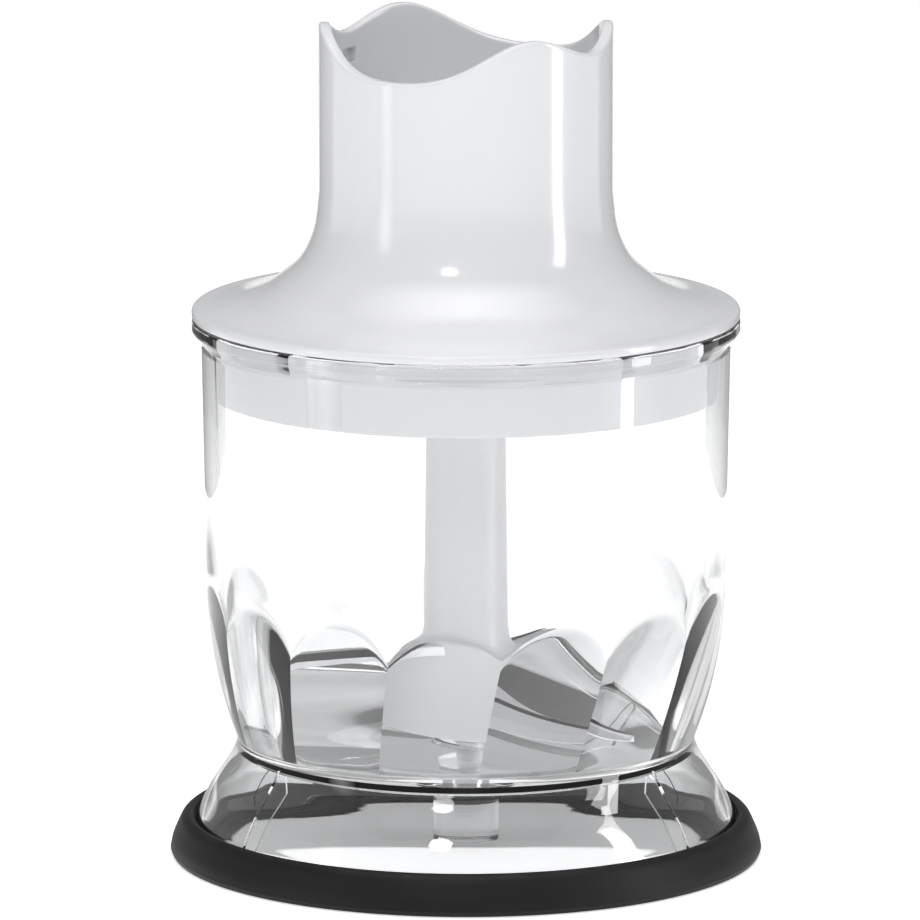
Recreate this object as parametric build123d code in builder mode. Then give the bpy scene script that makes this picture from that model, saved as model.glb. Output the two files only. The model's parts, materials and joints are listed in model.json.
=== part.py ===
from build123d import *
import os
from math import acos, cos, hypot, pi, radians, sin, sqrt, tan

# Chopper attachment for a hand blender, in millimetres, +Z up, origin on the table at the axis.
# From the table up: rubber ring, clear bowl on its foot, blade unit on the bowl's steel pin,
# and a white lid that holds the planetary reduction gear and the collar for the motor body.

os.makedirs("parts", exist_ok=True)

# --- driving dimensions ------------------------------------------------------------------
static_gap = 0.3  # between pieces that lift off each other
running_gap = 0.05  # radial, between a shaft and its bush

ring_r = 59.0  # rubber ring, outer radius
ring_height = 8.0
ring_inner_r = 54.3
ring_lip_r = 49.0  # its inward lip under the bowl's foot
ring_lip_height = 1.5

wall = 2.5  # bowl
foot_r = ring_inner_r - static_gap
foot_wall = 2.2
foot_bottom = ring_lip_height + static_gap
foot_straight = 6.5  # the foot is straight up to here, then draws in
foot_outer_flare = [(51.2, 12.8), (47.2, 19.0)]
foot_inner_flare = [(45.2, 17.8), (49.1, 12.2)]
waist_r = 45.7
waist_z = 22.9
barrel_start = 23.8
barrel_end = 56.0
barrel_arc_r = 88.3
barrel_r = 51.7
bowl_underside = 21.0
bowl_floor = 24.5
wall_top = 102.5
wall_top_r = 52.6
rim_r = 54.4
rim_z = 108.3

side_count = 14  # flat faces round the bowl's lower wall and its rim
facet_turn = -2.8  # angle of the first corner, degrees from +X
facet_twist = 7.0  # the corners lean back by this much on the way down
facet_apothem_floor = 42.3
facet_apothem_top = 49.9
facet_top = 58.0  # above this height the flats lie outside the round wall
recess_apothem = 49.6  # less than the wall, so only the corners are notched into it
recess_floor = 104.0

pin_r = 3.0  # steel pin in the bowl's floor
pin_bottom = 15.0
pin_top = 52.0
pin_boss_r = 6.2
pin_boss_top = 26.3
foot_boss_r = 6.5
foot_boss_bottom = 2.0
foot_rib_turns = (-146.0, -34.0, 34.0, 146.0)
foot_rib_thickness = 0.8
foot_rib_inner_r = 42.0
foot_rib_bottom = 4.0
hook_turn = -47.0  # hook under the bowl's floor
hook_r = (41.9, 43.1)
hook_bottom = 14.4
hook_bar = 1.6  # width of its upright and of its toe
hook_toe = 3.2  # how far the toe reaches sideways

shell = 2.1  # lid housing wall
lid_edge_r = 54.4
lid_edge_bottom = rim_z + static_gap
lid_edge_inner_r = 52.2
collar_r = 29.1
collar_bore_r = 26.8  # takes the motor body
collar_stop_r = 25.5  # the motor body rests on this step
collar_stop_z = 134.0
neck_z = 134.0  # the neck runs into the straight collar here
collar_floor_bottom = 122.5
collar_floor_top = 125.0
collar_floor_hole_r = 8.0
rim_mean_z = 163.62  # mean height of the collar's wavy edge
rim_waves = {2: 3.19, 4: -2.31, 6: -1.00}  # waves per turn: height
rim_turn = -30.0  # angle of the first shallow valley
catch_turns = (-30.0, 150.0)  # pockets for the motor body's two catches
catch_pocket = (2.4, 5.0, 3.0)  # depth, width, height
catch_z = 158.5
snap_ring_r = (46.2, 47.7)  # ring under the housing that grips the plate's band
snap_ring_z = (103.0, 110.2)
lid_edge_top = 109.5  # the edge is straight up to here

plate_bottom = 100.0  # lid plate
plate_top = 102.5
skirt_r = 49.6
skirt_wall = 2.2
skirt_bottom = 93.5
band_inner_r = 48.0
band_apothem = recess_apothem - static_gap
band_bottom = recess_floor + static_gap
band_top = 108.4
hub_r = 13.0  # round the output socket
hub_bottom = 96.0
hub_top = 106.0
bush_r = 10.15  # outside of the lower bush and of the seal
seal_z = (96.1, 98.3)
lower_bush_z = (98.5, 105.6)
washer_z = (106.1, 106.9)
washer_r = 12.7

gear_module = 0.8
pressure_angle = 25.0
backlash = 0.05  # taken off each flank
sun_teeth = 12
planet_teeth = 18
ring_teeth = sun_teeth + 2 * planet_teeth
planet_count = 3
gear_bottom = 110.0
gear_top = 116.0
ring_gear_r = 22.4
ring_gear_bottom = 109.5
ring_gear_top = 116.5

drum_r = 27.2  # gear housing
drum_bore_r = 20.8  # below the ring gear
drum_floor_top = 104.5
drum_top = 118.0
cover_r = 27.0
cover_top = 120.5
cover_boss_r = 7.5
cover_boss_top = 123.5
upper_bush_r = 5.0
screw_count = 3
screw_circle_r = 24.9
screw_shank_r = 1.1
screw_head_r = 2.1
screw_head_height = 1.6
screw_bottom = 107.0
screw_recess = (1.3, 0.9)  # drive recess across flats, depth

carrier_r = 17.0
carrier_bottom = 107.0
carrier_top = 109.5
planet_pin_r = 1.5
retainer_r = (6.0, 15.0)
retainer_z = (116.3, 117.1)
input_r = 3.0
coupling_r = 6.5
coupling_z = (124.0, 133.0)
coupling_socket_floor = 127.5
coupling_socket_flats = 7.0

socket_r = 8.5  # output socket
socket_bottom = 97.5
socket_hex_top = 105.5
socket_flats = 10.2
drive_flats = 10.0  # hexagon on top of the blade shaft
drive_top = 105.0

shaft_shoulder_z = 96.8
shaft_top_r = 7.75
shaft_low_r = 8.35
shaft_low_z = 47.0
blade_hub_r = 12.6
blade_hub_top = 40.4
blade_hub_bottom = pin_boss_top + static_gap
shaft_hollow_r = 4.5
shaft_hollow_top = 60.0
sleeve_top = 46.0
blade_thickness = 1.2
upper_blade = {"reach": 31.0, "root": 9.0, "z": 38.6, "turn": -132.0}
lower_blade = {"reach": 38.0, "root": 9.0, "z": 28.4, "turn": -42.0}


# --- helpers ------------------------------------------------------------------------------
def polar(radius, degrees):
    """A point on a circle about the origin."""
    return (radius * cos(radians(degrees)), radius * sin(radians(degrees)))


def turned(bottom, top, outer_r, inner_r=0.0):
    """A plain disc or tube about the Z axis."""
    with BuildPart() as piece:
        with BuildSketch(Plane.XY.offset(bottom)):
            Circle(outer_r)
            if inner_r > 0:
                Circle(inner_r, mode=Mode.SUBTRACT)
        extrude(amount=top - bottom)
    return piece


def save(piece, label):
    """Names a finished piece and writes it to its own file."""
    piece.part.label = label
    export_step(piece.part, f"parts/{label}.step")


def inset(points, distance):
    """The points moved inwards, square to the line through their neighbours."""
    moved = []
    for before, here, after in zip(points, points[1:], points[2:]):
        along = (after[0] - before[0], after[1] - before[1])
        length = hypot(*along)
        moved.append((here[0] - distance * along[1] / length, here[1] + distance * along[0] / length))
    return moved


def involute_point(base_r, radius, flank_turn):
    """A point at this radius on an involute that leaves the base circle at flank_turn (radians)."""
    contact = acos(min(1.0, base_r / radius))
    angle = flank_turn + tan(contact) - contact
    return (radius * cos(angle), radius * sin(angle))


def tooth_flank(teeth, tip_r, root_r, thinning, steps=5):
    """One flank of the tooth on the +X axis, from root to tip, on its -Y side."""
    pitch_r = gear_module * teeth / 2
    alpha = radians(pressure_angle)
    base_r = pitch_r * cos(alpha)
    half_tooth = pi / (2 * teeth) - thinning / pitch_r
    flank_turn = -(half_tooth + tan(alpha) - alpha)
    start_r = max(root_r, base_r)
    points = []
    if root_r < base_r:
        points.append((root_r * cos(flank_turn), root_r * sin(flank_turn)))
    for step in range(steps + 1):
        radius = start_r + (tip_r - start_r) * step / steps
        points.append(involute_point(base_r, radius, flank_turn))
    return points


def gear_outline(teeth, first_tooth, addendum=1.0, dedendum=1.25, thinning=backlash):
    """Corner points of a spur gear, tooth by tooth; heights are in modules."""
    pitch_r = gear_module * teeth / 2
    flank = tooth_flank(
        teeth, pitch_r + addendum * gear_module, pitch_r - dedendum * gear_module, thinning
    )
    tooth = flank + [(x, -y) for x, y in reversed(flank)]
    points = []
    for index in range(teeth):
        turn = radians(first_tooth + 360 * index / teeth)
        points += [(x * cos(turn) - y * sin(turn), x * sin(turn) + y * cos(turn)) for x, y in tooth]
    return points


# --- rubber ring --------------------------------------------------------------------------
with BuildPart() as base_ring:
    with BuildSketch(Plane.XZ):
        with BuildLine():
            Polyline(
                (ring_r - 0.4, 0),
                (ring_lip_r, 0),
                (ring_lip_r, ring_lip_height),
                (ring_inner_r, ring_lip_height),
                (ring_inner_r, ring_height - 0.5),
            )
            ThreePointArc(
                (ring_inner_r, ring_height - 0.5),
                (ring_inner_r + 0.85, ring_height),
                (ring_r - 3.0, ring_height - 0.5),
            )
            Spline(
                (ring_r - 3.0, ring_height - 0.5),
                (ring_r - 2.1, 6.9),
                (ring_r - 1.2, 4.9),
                (ring_r - 0.4, 2.9),
                (ring_r, 1.0),
            )
            Line((ring_r, 1.0), (ring_r - 0.4, 0))
        make_face()
    revolve(axis=Axis.Z)
save(base_ring, "base_ring")

# --- bowl ---------------------------------------------------------------------------------
barrel_centre = (barrel_r - barrel_arc_r, barrel_end)


def barrel_radius(height, thickness=0.0):
    """Radius of the barrel-shaped lower wall at a height."""
    return barrel_centre[0] + sqrt((barrel_arc_r - thickness) ** 2 - (barrel_end - height) ** 2)


with BuildPart() as bowl_cavity:
    with BuildSketch(Plane.XZ):
        with BuildLine():
            Line((0, bowl_floor), (barrel_radius(bowl_floor, wall), bowl_floor))
            RadiusArc(
                (barrel_radius(bowl_floor, wall), bowl_floor),
                (barrel_r - wall, barrel_end),
                -(barrel_arc_r - wall),
            )
            Polyline(
                (barrel_r - wall, barrel_end),
                (wall_top_r - wall, recess_floor),
                (wall_top_r - wall, rim_z + 1),
                (0, rim_z + 1),
                (0, bowl_floor),
            )
        make_face()
    revolve(axis=Axis.Z)

with BuildPart() as faceted_space:
    with BuildSketch(Plane.XY.offset(bowl_floor)):
        RegularPolygon(
            facet_apothem_floor, side_count, major_radius=False, rotation=facet_turn - facet_twist
        )
    with BuildSketch(Plane.XY.offset(facet_top)):
        RegularPolygon(facet_apothem_top, side_count, major_radius=False, rotation=facet_turn)
    loft(ruled=True)
    with BuildSketch(Plane.XY.offset(facet_top)):
        Circle(rim_r)
    extrude(amount=rim_z + 1 - facet_top)
    add(bowl_cavity.part, mode=Mode.INTERSECT)
    with BuildSketch(Plane.XY.offset(recess_floor)):
        RegularPolygon(recess_apothem, side_count, major_radius=False, rotation=facet_turn)
    extrude(amount=rim_z + 1 - recess_floor)

with BuildPart() as moulding:
    with BuildSketch(Plane.XZ):
        with BuildLine():
            Line((0, bowl_underside), (waist_r - foot_wall, bowl_underside))
            Spline(
                (waist_r - foot_wall, bowl_underside),
                *foot_inner_flare,
                (foot_r - foot_wall, foot_straight),
                tangents=((0, -1), (0, -1)),
            )
            Polyline(
                (foot_r - foot_wall, foot_straight),
                (foot_r - foot_wall, foot_bottom),
                (foot_r, foot_bottom),
                (foot_r, foot_straight),
            )
            Spline(
                (foot_r, foot_straight),
                *foot_outer_flare,
                (barrel_radius(barrel_start), waist_z),
                tangents=((0, 1), (0, 1)),
            )
            Line((barrel_radius(barrel_start), waist_z), (barrel_radius(barrel_start), barrel_start))
            RadiusArc(
                (barrel_radius(barrel_start), barrel_start), (barrel_r, barrel_end), -barrel_arc_r
            )
            Line((barrel_r, barrel_end), (wall_top_r, wall_top))
            Spline((wall_top_r, wall_top), (wall_top_r + 0.4, 104.4), (rim_r, 106.0))
            Polyline((rim_r, 106.0), (rim_r, rim_z), (0, rim_z), (0, bowl_underside))
        make_face()
    revolve(axis=Axis.Z)
    add(faceted_space.part, mode=Mode.SUBTRACT)
    for turn in foot_rib_turns:
        with BuildSketch(Plane.XZ.rotated((0, 0, turn))):
            with BuildLine():
                Polyline(
                    (foot_rib_inner_r, bowl_underside + 0.5),
                    (44.4, bowl_underside + 0.5),
                    (46.5, 18.4),
                    (50.1, 12.5),
                    (foot_r - foot_wall / 2, foot_straight),
                    (foot_r - foot_wall / 2, foot_rib_bottom),
                    (foot_r - foot_wall - 1.5, foot_rib_bottom),
                    (46.5, 11.0),
                    (foot_rib_inner_r, 16.5),
                    close=True,
                )
            make_face()
        extrude(amount=foot_rib_thickness / 2, both=True)

with BuildPart() as bowl:
    add(moulding.part)
    split(bisect_by=Plane.XY.offset(bowl_underside), keep=Keep.TOP)
    with BuildSketch(Plane.XY.offset(bowl_floor - 1)):
        Circle(pin_boss_r)
    extrude(amount=pin_boss_top - bowl_floor + 1)
    with BuildSketch(Plane.XY.offset(foot_boss_bottom)):
        Circle(foot_boss_r)
    extrude(amount=bowl_underside + 1 - foot_boss_bottom)
    hook_plane = Plane(
        origin=(*polar(hook_r[0], hook_turn), 0),
        x_dir=(*polar(1, hook_turn + 90), 0),
        z_dir=(*polar(1, hook_turn), 0),
    )
    with BuildSketch(hook_plane):
        with BuildLine():
            Polyline(
                (0, bowl_underside + 1),
                (0, hook_bottom),
                (-hook_toe, hook_bottom),
                (-hook_toe, hook_bottom + hook_bar),
                (-hook_bar, hook_bottom + hook_bar),
                (-hook_bar, bowl_underside + 1),
                close=True,
            )
        make_face()
    extrude(amount=hook_r[1] - hook_r[0])
    with BuildSketch(Plane.XY.offset(pin_bottom)):
        Circle(pin_r)
    extrude(amount=pin_top - pin_bottom, mode=Mode.SUBTRACT)
save(bowl, "bowl")

with BuildPart() as bowl_foot:
    add(moulding.part)
    split(bisect_by=Plane.XY.offset(bowl_underside), keep=Keep.BOTTOM)
save(bowl_foot, "bowl_foot")

with BuildPart() as bowl_pin:
    with BuildSketch(Plane.XY.offset(pin_bottom)):
        Circle(pin_r)
    extrude(amount=pin_top - pin_bottom)
    fillet(bowl_pin.edges().group_by(Axis.Z)[-1], radius=1.2)
save(bowl_pin, "bowl_pin")

# --- lid housing --------------------------------------------------------------------------
shoulder = [
    (53.4, 110.4),
    (50.0, 110.8),
    (45.0, 112.0),
    (40.0, 114.3),
    (36.0, 117.2),
    (33.0, 120.1),
    (31.0, 123.6),
    (29.8, 127.7),
    (collar_r, neck_z),
]
inner_shoulder = [
    point for point in inset(shoulder, shell) if point[1] < collar_floor_bottom - 1
]


def rim_height(degrees):
    """Height of the collar's wavy edge at an angle about the axis."""
    turn = radians(degrees - rim_turn)
    return rim_mean_z + sum(height * cos(waves * turn) for waves, height in rim_waves.items())


def rim_curve(radius):
    """The wavy edge carried to a radius, as a closed curve."""
    points = [(*polar(radius, degrees), rim_height(degrees)) for degrees in range(0, 360, 5)]
    return Edge.make_spline(points, periodic=True)


rim_surface = Face.make_surface_from_curves(rim_curve(collar_r + 4), rim_curve(collar_bore_r - 4))
above_rim = Solid.extrude(rim_surface, Vector(0, 0, 20))

with BuildPart() as lid_housing:
    with BuildSketch(Plane.XZ):
        with BuildLine():
            Line((lid_edge_inner_r, lid_edge_bottom), (lid_edge_r, lid_edge_bottom))
            Line((lid_edge_r, lid_edge_bottom), (lid_edge_r, lid_edge_top))
            ThreePointArc((lid_edge_r, lid_edge_top), (lid_edge_r - 0.29, 110.15), shoulder[0])
            Spline(*shoulder, tangents=((-1, 0.05), (0, 1)))
            Polyline(
                (collar_r, neck_z),
                (collar_r, rim_mean_z + 8),
                (collar_bore_r, rim_mean_z + 8),
                (collar_bore_r, collar_stop_z),
                (collar_stop_r, collar_stop_z),
                (collar_stop_r, collar_floor_top),
                (collar_floor_hole_r, collar_floor_top),
                (collar_floor_hole_r, collar_floor_bottom),
                (collar_r, collar_floor_bottom),
            )
            Spline(
                (collar_r, collar_floor_bottom),
                *reversed(inner_shoulder),
                (lid_edge_inner_r, lid_edge_bottom),
            )
        make_face()
    revolve(axis=Axis.Z)
    add(above_rim, mode=Mode.SUBTRACT)
    with BuildSketch(Plane.XY.offset(snap_ring_z[0])):
        Circle(snap_ring_r[1])
        Circle(snap_ring_r[0], mode=Mode.SUBTRACT)
    extrude(amount=snap_ring_z[1] - snap_ring_z[0])
    with BuildSketch(Plane.XY.offset(catch_z - catch_pocket[2] / 2)):
        for turn in catch_turns:
            with Locations(Location((*polar(collar_bore_r, turn), 0), (0, 0, turn))):
                Rectangle(catch_pocket[0], catch_pocket[1])
    extrude(amount=catch_pocket[2], mode=Mode.SUBTRACT)
save(lid_housing, "lid_housing")

# --- lid plate and what is fixed in it ----------------------------------------------------
with BuildPart() as lid_plate:
    with BuildSketch(Plane.XZ):
        with BuildLine():
            Polyline(
                (bush_r, hub_bottom),
                (hub_r, hub_bottom),
                (hub_r, plate_bottom),
                (skirt_r - skirt_wall, plate_bottom),
                (skirt_r - skirt_wall, skirt_bottom),
                (skirt_r - 0.2, skirt_bottom),
                (skirt_r, skirt_bottom + 6),
                (skirt_r, band_bottom + 0.5),
                (band_inner_r, band_bottom + 0.5),
                (band_inner_r, plate_top),
                (hub_r, plate_top),
                (hub_r, hub_top),
                (bush_r, hub_top),
                close=True,
            )
        make_face()
    revolve(axis=Axis.Z)
    with BuildSketch(Plane.XY.offset(band_bottom)):
        RegularPolygon(band_apothem, side_count, major_radius=False, rotation=facet_turn)
        Circle(band_inner_r, mode=Mode.SUBTRACT)
    extrude(amount=band_top - band_bottom)
save(lid_plate, "lid_plate")

save(turned(*lower_bush_z, bush_r, socket_r + running_gap), "lower_bush")
save(turned(*seal_z, bush_r, socket_r + running_gap), "output_seal")
save(turned(*washer_z, washer_r, socket_r + 2 * running_gap), "thrust_washer")

# --- gear housing, its cover and screws ---------------------------------------------------
with BuildPart() as gear_housing:
    with BuildSketch(Plane.XZ):
        with BuildLine():
            Polyline(
                (hub_r + 0.2, plate_top),
                (drum_r, plate_top),
                (drum_r, drum_top),
                (ring_gear_r, drum_top),
                (ring_gear_r, ring_gear_bottom),
                (drum_bore_r, ring_gear_bottom),
                (drum_bore_r, drum_floor_top),
                (hub_r + 0.2, drum_floor_top),
                close=True,
            )
        make_face()
    revolve(axis=Axis.Z)
    with BuildSketch(Plane.XY.offset(screw_bottom)):
        with PolarLocations(screw_circle_r, screw_count, start_angle=60):
            Circle(screw_shank_r)
    extrude(amount=drum_top - screw_bottom, mode=Mode.SUBTRACT)
save(gear_housing, "gear_housing")

with BuildPart() as gear_cover:
    with BuildSketch(Plane.XY.offset(drum_top)):
        Circle(cover_r)
    extrude(amount=cover_top - drum_top)
    with BuildSketch(Plane.XY.offset(cover_top)):
        Circle(cover_boss_r)
    extrude(amount=cover_boss_top - cover_top)
    with BuildSketch(Plane.XY.offset(drum_top)):
        Circle(upper_bush_r)
        with PolarLocations(screw_circle_r, screw_count, start_angle=60):
            Circle(screw_shank_r)
    extrude(amount=cover_boss_top - drum_top, mode=Mode.SUBTRACT)
save(gear_cover, "gear_cover")

with BuildPart() as gear_cover_screws:
    with BuildSketch(Plane.XY.offset(screw_bottom)):
        with PolarLocations(screw_circle_r, screw_count, start_angle=60):
            Circle(screw_shank_r)
    extrude(amount=cover_top - screw_bottom)
    with BuildSketch(Plane.XY.offset(cover_top)):
        with PolarLocations(screw_circle_r, screw_count, start_angle=60):
            Circle(screw_head_r)
    extrude(amount=screw_head_height)
    fillet(gear_cover_screws.edges().group_by(Axis.Z)[-1], radius=0.5)
    with BuildSketch(Plane.XY.offset(cover_top + screw_head_height)):
        with PolarLocations(screw_circle_r, screw_count, start_angle=60):
            RegularPolygon(screw_recess[0], 6, major_radius=False)
    extrude(amount=-screw_recess[1], mode=Mode.SUBTRACT)
save(gear_cover_screws, "gear_cover_screws")

save(turned(drum_top, cover_boss_top, upper_bush_r, input_r + running_gap), "upper_bush")

# --- planetary gear -----------------------------------------------------------------------
planet_circle_r = gear_module * (sun_teeth + planet_teeth) / 2
ring_tooth_turn = 180 / ring_teeth  # the ring gear's spaces sit half a tooth off the planets' axes

with BuildPart() as ring_gear:
    with BuildSketch(Plane.XY.offset(ring_gear_bottom)):
        Circle(ring_gear_r)
        with BuildLine():
            Polyline(
                *gear_outline(ring_teeth, ring_tooth_turn, 1.25, 0.9, -backlash), close=True
            )
        make_face(mode=Mode.SUBTRACT)
    extrude(amount=ring_gear_top - ring_gear_bottom)
save(ring_gear, "ring_gear")

with BuildPart() as sun_gear:
    with BuildSketch(Plane.XY.offset(gear_bottom)):
        with BuildLine():
            Polyline(*gear_outline(sun_teeth, 0.0), close=True)
        make_face()
        Circle(input_r, mode=Mode.SUBTRACT)
    extrude(amount=gear_top - gear_bottom)
save(sun_gear, "sun_gear")

for number in range(planet_count):
    turn = 360 * number / planet_count
    seat = Plane(origin=(*polar(planet_circle_r, turn), gear_bottom), x_dir=(*polar(1, turn), 0))
    with BuildPart() as planet_gear:
        with BuildSketch(seat):
            with BuildLine():
                Polyline(*gear_outline(planet_teeth, 180 / planet_teeth), close=True)
            make_face()
            Circle(planet_pin_r + running_gap, mode=Mode.SUBTRACT)
        extrude(amount=gear_top - gear_bottom)
    save(planet_gear, f"planet_gear_{number + 1}")

with BuildPart() as planet_pins:
    with BuildSketch(Plane.XY.offset(carrier_bottom)):
        with PolarLocations(planet_circle_r, planet_count):
            Circle(planet_pin_r)
    extrude(amount=retainer_z[1] - carrier_bottom)
save(planet_pins, "planet_pins")

with BuildPart() as planet_carrier:
    with BuildSketch(Plane.XY.offset(carrier_bottom)):
        Circle(carrier_r)
        with PolarLocations(planet_circle_r, planet_count):
            Circle(planet_pin_r, mode=Mode.SUBTRACT)
    extrude(amount=carrier_top - carrier_bottom)
save(planet_carrier, "planet_carrier")

with BuildPart() as planet_retainer:
    with BuildSketch(Plane.XY.offset(retainer_z[0])):
        Circle(retainer_r[1])
        Circle(retainer_r[0], mode=Mode.SUBTRACT)
        with PolarLocations(planet_circle_r, planet_count):
            Circle(planet_pin_r, mode=Mode.SUBTRACT)
    extrude(amount=retainer_z[1] - retainer_z[0])
save(planet_retainer, "planet_retainer")

# --- input shaft and drive coupling -------------------------------------------------------
with BuildPart() as input_shaft:
    with BuildSketch(Plane.XY.offset(gear_bottom)):
        Circle(input_r)
    extrude(amount=coupling_socket_floor - gear_bottom)
    chamfer(input_shaft.edges().group_by(Axis.Z)[0], length=0.4)
save(input_shaft, "input_shaft")

with BuildPart() as drive_coupling:
    with BuildSketch(Plane.XY.offset(coupling_z[0])):
        Circle(coupling_r)
    extrude(amount=coupling_z[1] - coupling_z[0])
    fillet(drive_coupling.edges().group_by(Axis.Z)[-1], radius=0.8)
    with BuildSketch(Plane.XY.offset(coupling_z[0])):
        Circle(input_r)
    extrude(amount=coupling_z[1] - coupling_z[0] - 1, mode=Mode.SUBTRACT)
    with BuildSketch(Plane.XY.offset(coupling_socket_floor)):
        RegularPolygon(coupling_socket_flats / 2, 6, major_radius=False)
    extrude(amount=coupling_z[1] - coupling_socket_floor, mode=Mode.SUBTRACT)
save(drive_coupling, "drive_coupling")

# --- output socket ------------------------------------------------------------------------
with BuildPart() as output_socket:
    with BuildSketch(Plane.XY.offset(socket_bottom)):
        Circle(socket_r)
    extrude(amount=carrier_bottom - socket_bottom)
    with BuildSketch(Plane.XY.offset(socket_bottom)):
        RegularPolygon(socket_flats / 2, 6, major_radius=False)
    extrude(amount=socket_hex_top - socket_bottom, mode=Mode.SUBTRACT)
save(output_socket, "output_socket")


# --- blade unit ---------------------------------------------------------------------------
def blade(reach, root, z, turn):
    """A flat S-shaped blade with two swept wings, bevelled along each leading edge."""
    with BuildPart() as piece:
        with BuildSketch(Plane.XY.offset(z)) as outline:
            with BuildLine():
                Spline(
                    (0, -root),
                    (0.45 * reach, -0.85 * root),
                    (0.8 * reach, -0.35 * root),
                    (reach, 0.55 * root),
                    tangents=((1, 0), (0.35, 1)),
                )
                Spline(
                    (reach, 0.55 * root),
                    (0.7 * reach, 0.35 * root),
                    (0.4 * reach, 0.5 * root),
                    (0.25 * reach, root),
                )
                Line((0.25 * reach, root), (0, root))
                Line((0, root), (0, -root))
            make_face()
            add(outline.sketch.rotate(Axis.Z, 180))
            Circle(shaft_hollow_r, mode=Mode.SUBTRACT)
        extrude(amount=blade_thickness)
    piece.part = piece.part.rotate(Axis.Z, turn)
    return piece


upper_blade_piece = blade(**upper_blade)
lower_blade_piece = blade(**lower_blade)
save(upper_blade_piece, "upper_blade")
save(lower_blade_piece, "lower_blade")

with BuildPart() as blade_shaft:
    with BuildSketch(Plane.XZ):
        with BuildLine():
            Polyline(
                (0, blade_hub_bottom),
                (blade_hub_r, blade_hub_bottom),
                (blade_hub_r, blade_hub_top),
            )
            Spline(
                (blade_hub_r, blade_hub_top),
                (shaft_low_r + 0.9, 42.6),
                (shaft_low_r, shaft_low_z),
                tangents=((-1, 0.25), (0, 1)),
            )
            Polyline(
                (shaft_low_r, shaft_low_z),
                (shaft_top_r, shaft_shoulder_z),
                (0, shaft_shoulder_z),
                (0, blade_hub_bottom),
            )
        make_face()
    revolve(axis=Axis.Z)
    with BuildSketch(Plane.XY.offset(shaft_shoulder_z - 1)):
        RegularPolygon(drive_flats / 2, 6, major_radius=False)
    extrude(amount=drive_top - shaft_shoulder_z + 1)
    with BuildSketch(Plane.XY.offset(blade_hub_bottom)):
        Circle(shaft_hollow_r)
    extrude(amount=shaft_hollow_top - blade_hub_bottom, mode=Mode.SUBTRACT)
    add(upper_blade_piece.part, mode=Mode.SUBTRACT)
    add(lower_blade_piece.part, mode=Mode.SUBTRACT)
save(blade_shaft, "blade_shaft")

save(turned(blade_hub_bottom, sleeve_top, shaft_hollow_r, pin_r + running_gap), "shaft_bush")
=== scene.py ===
"""Visual model of a chopper attachment for a hand blender, built round its CAD frame.

Every piece is in metres in the frame's own coordinates: the table is z = 0, the common axis of
bowl, blades and gear is Z, and the front looks along -Y. Profiles are given in millimetres.
"""

import json
import logging
import math
from dataclasses import dataclass, field, replace
from enum import Enum

import bpy
import numpy as np
from mathutils import Matrix, Vector


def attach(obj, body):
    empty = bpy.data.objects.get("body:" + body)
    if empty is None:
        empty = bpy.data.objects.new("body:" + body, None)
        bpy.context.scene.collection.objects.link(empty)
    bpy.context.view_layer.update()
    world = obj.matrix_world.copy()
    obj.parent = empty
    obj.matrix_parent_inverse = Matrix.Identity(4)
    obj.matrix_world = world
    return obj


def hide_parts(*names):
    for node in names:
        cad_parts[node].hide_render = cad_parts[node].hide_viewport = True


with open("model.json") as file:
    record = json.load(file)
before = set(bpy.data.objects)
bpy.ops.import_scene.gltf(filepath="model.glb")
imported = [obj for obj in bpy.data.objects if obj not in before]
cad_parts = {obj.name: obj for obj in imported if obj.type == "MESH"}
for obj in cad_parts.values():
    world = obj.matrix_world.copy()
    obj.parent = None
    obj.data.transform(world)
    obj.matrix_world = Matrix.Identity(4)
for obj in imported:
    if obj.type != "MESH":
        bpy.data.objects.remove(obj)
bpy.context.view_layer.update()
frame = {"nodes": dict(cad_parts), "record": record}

LOG = logging.getLogger("chopper")
MM = 0.001
SIDES = 14
SIDE_TURN = math.radians(-2.8)


# --- profiles -----------------------------------------------------------------------------
class Rule(Enum):
    """How one row of a turned moulding goes round the axis."""

    CIRCLE = 0
    WAVY = 1
    FLATS = 2
    NOTCHED = 3
    BELOW_ARCH = 4
    ABOVE_ARCH = 5


@dataclass(frozen=True)
class Corner:
    """One point of a profile, in millimetres.

    Attributes:
        radius: Distance from the axis.
        height: Height above the table.
        fillet: Radius that the corner is rounded with.
        rule: How the row that this point makes goes round the axis.
        share: How far a wavy or arched row follows its rule, from 0 to 1.
        crease: Whether the row is a crisp edge.
    """

    radius: float
    height: float
    fillet: float = 0.0
    rule: Rule = Rule.CIRCLE
    share: float = 0.0
    crease: bool = False

    def towards(self, other: "Corner", distance: float) -> "Corner":
        """Goes part of the way to another corner.

        Args:
            other: The corner to go towards.
            distance: How far to go, in millimetres.

        Returns:
            The corner reached, without fillet or crease.
        """
        part = distance / max(self.distance(other), 1e-9)
        return replace(
            self,
            radius=self.radius + (other.radius - self.radius) * part,
            height=self.height + (other.height - self.height) * part,
            share=self.share + (other.share - self.share) * part,
            fillet=0.0,
            crease=False,
        )

    def distance(self, other: "Corner") -> float:
        """Returns the distance to another corner in millimetres."""
        return math.hypot(other.radius - self.radius, other.height - self.height)


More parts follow.
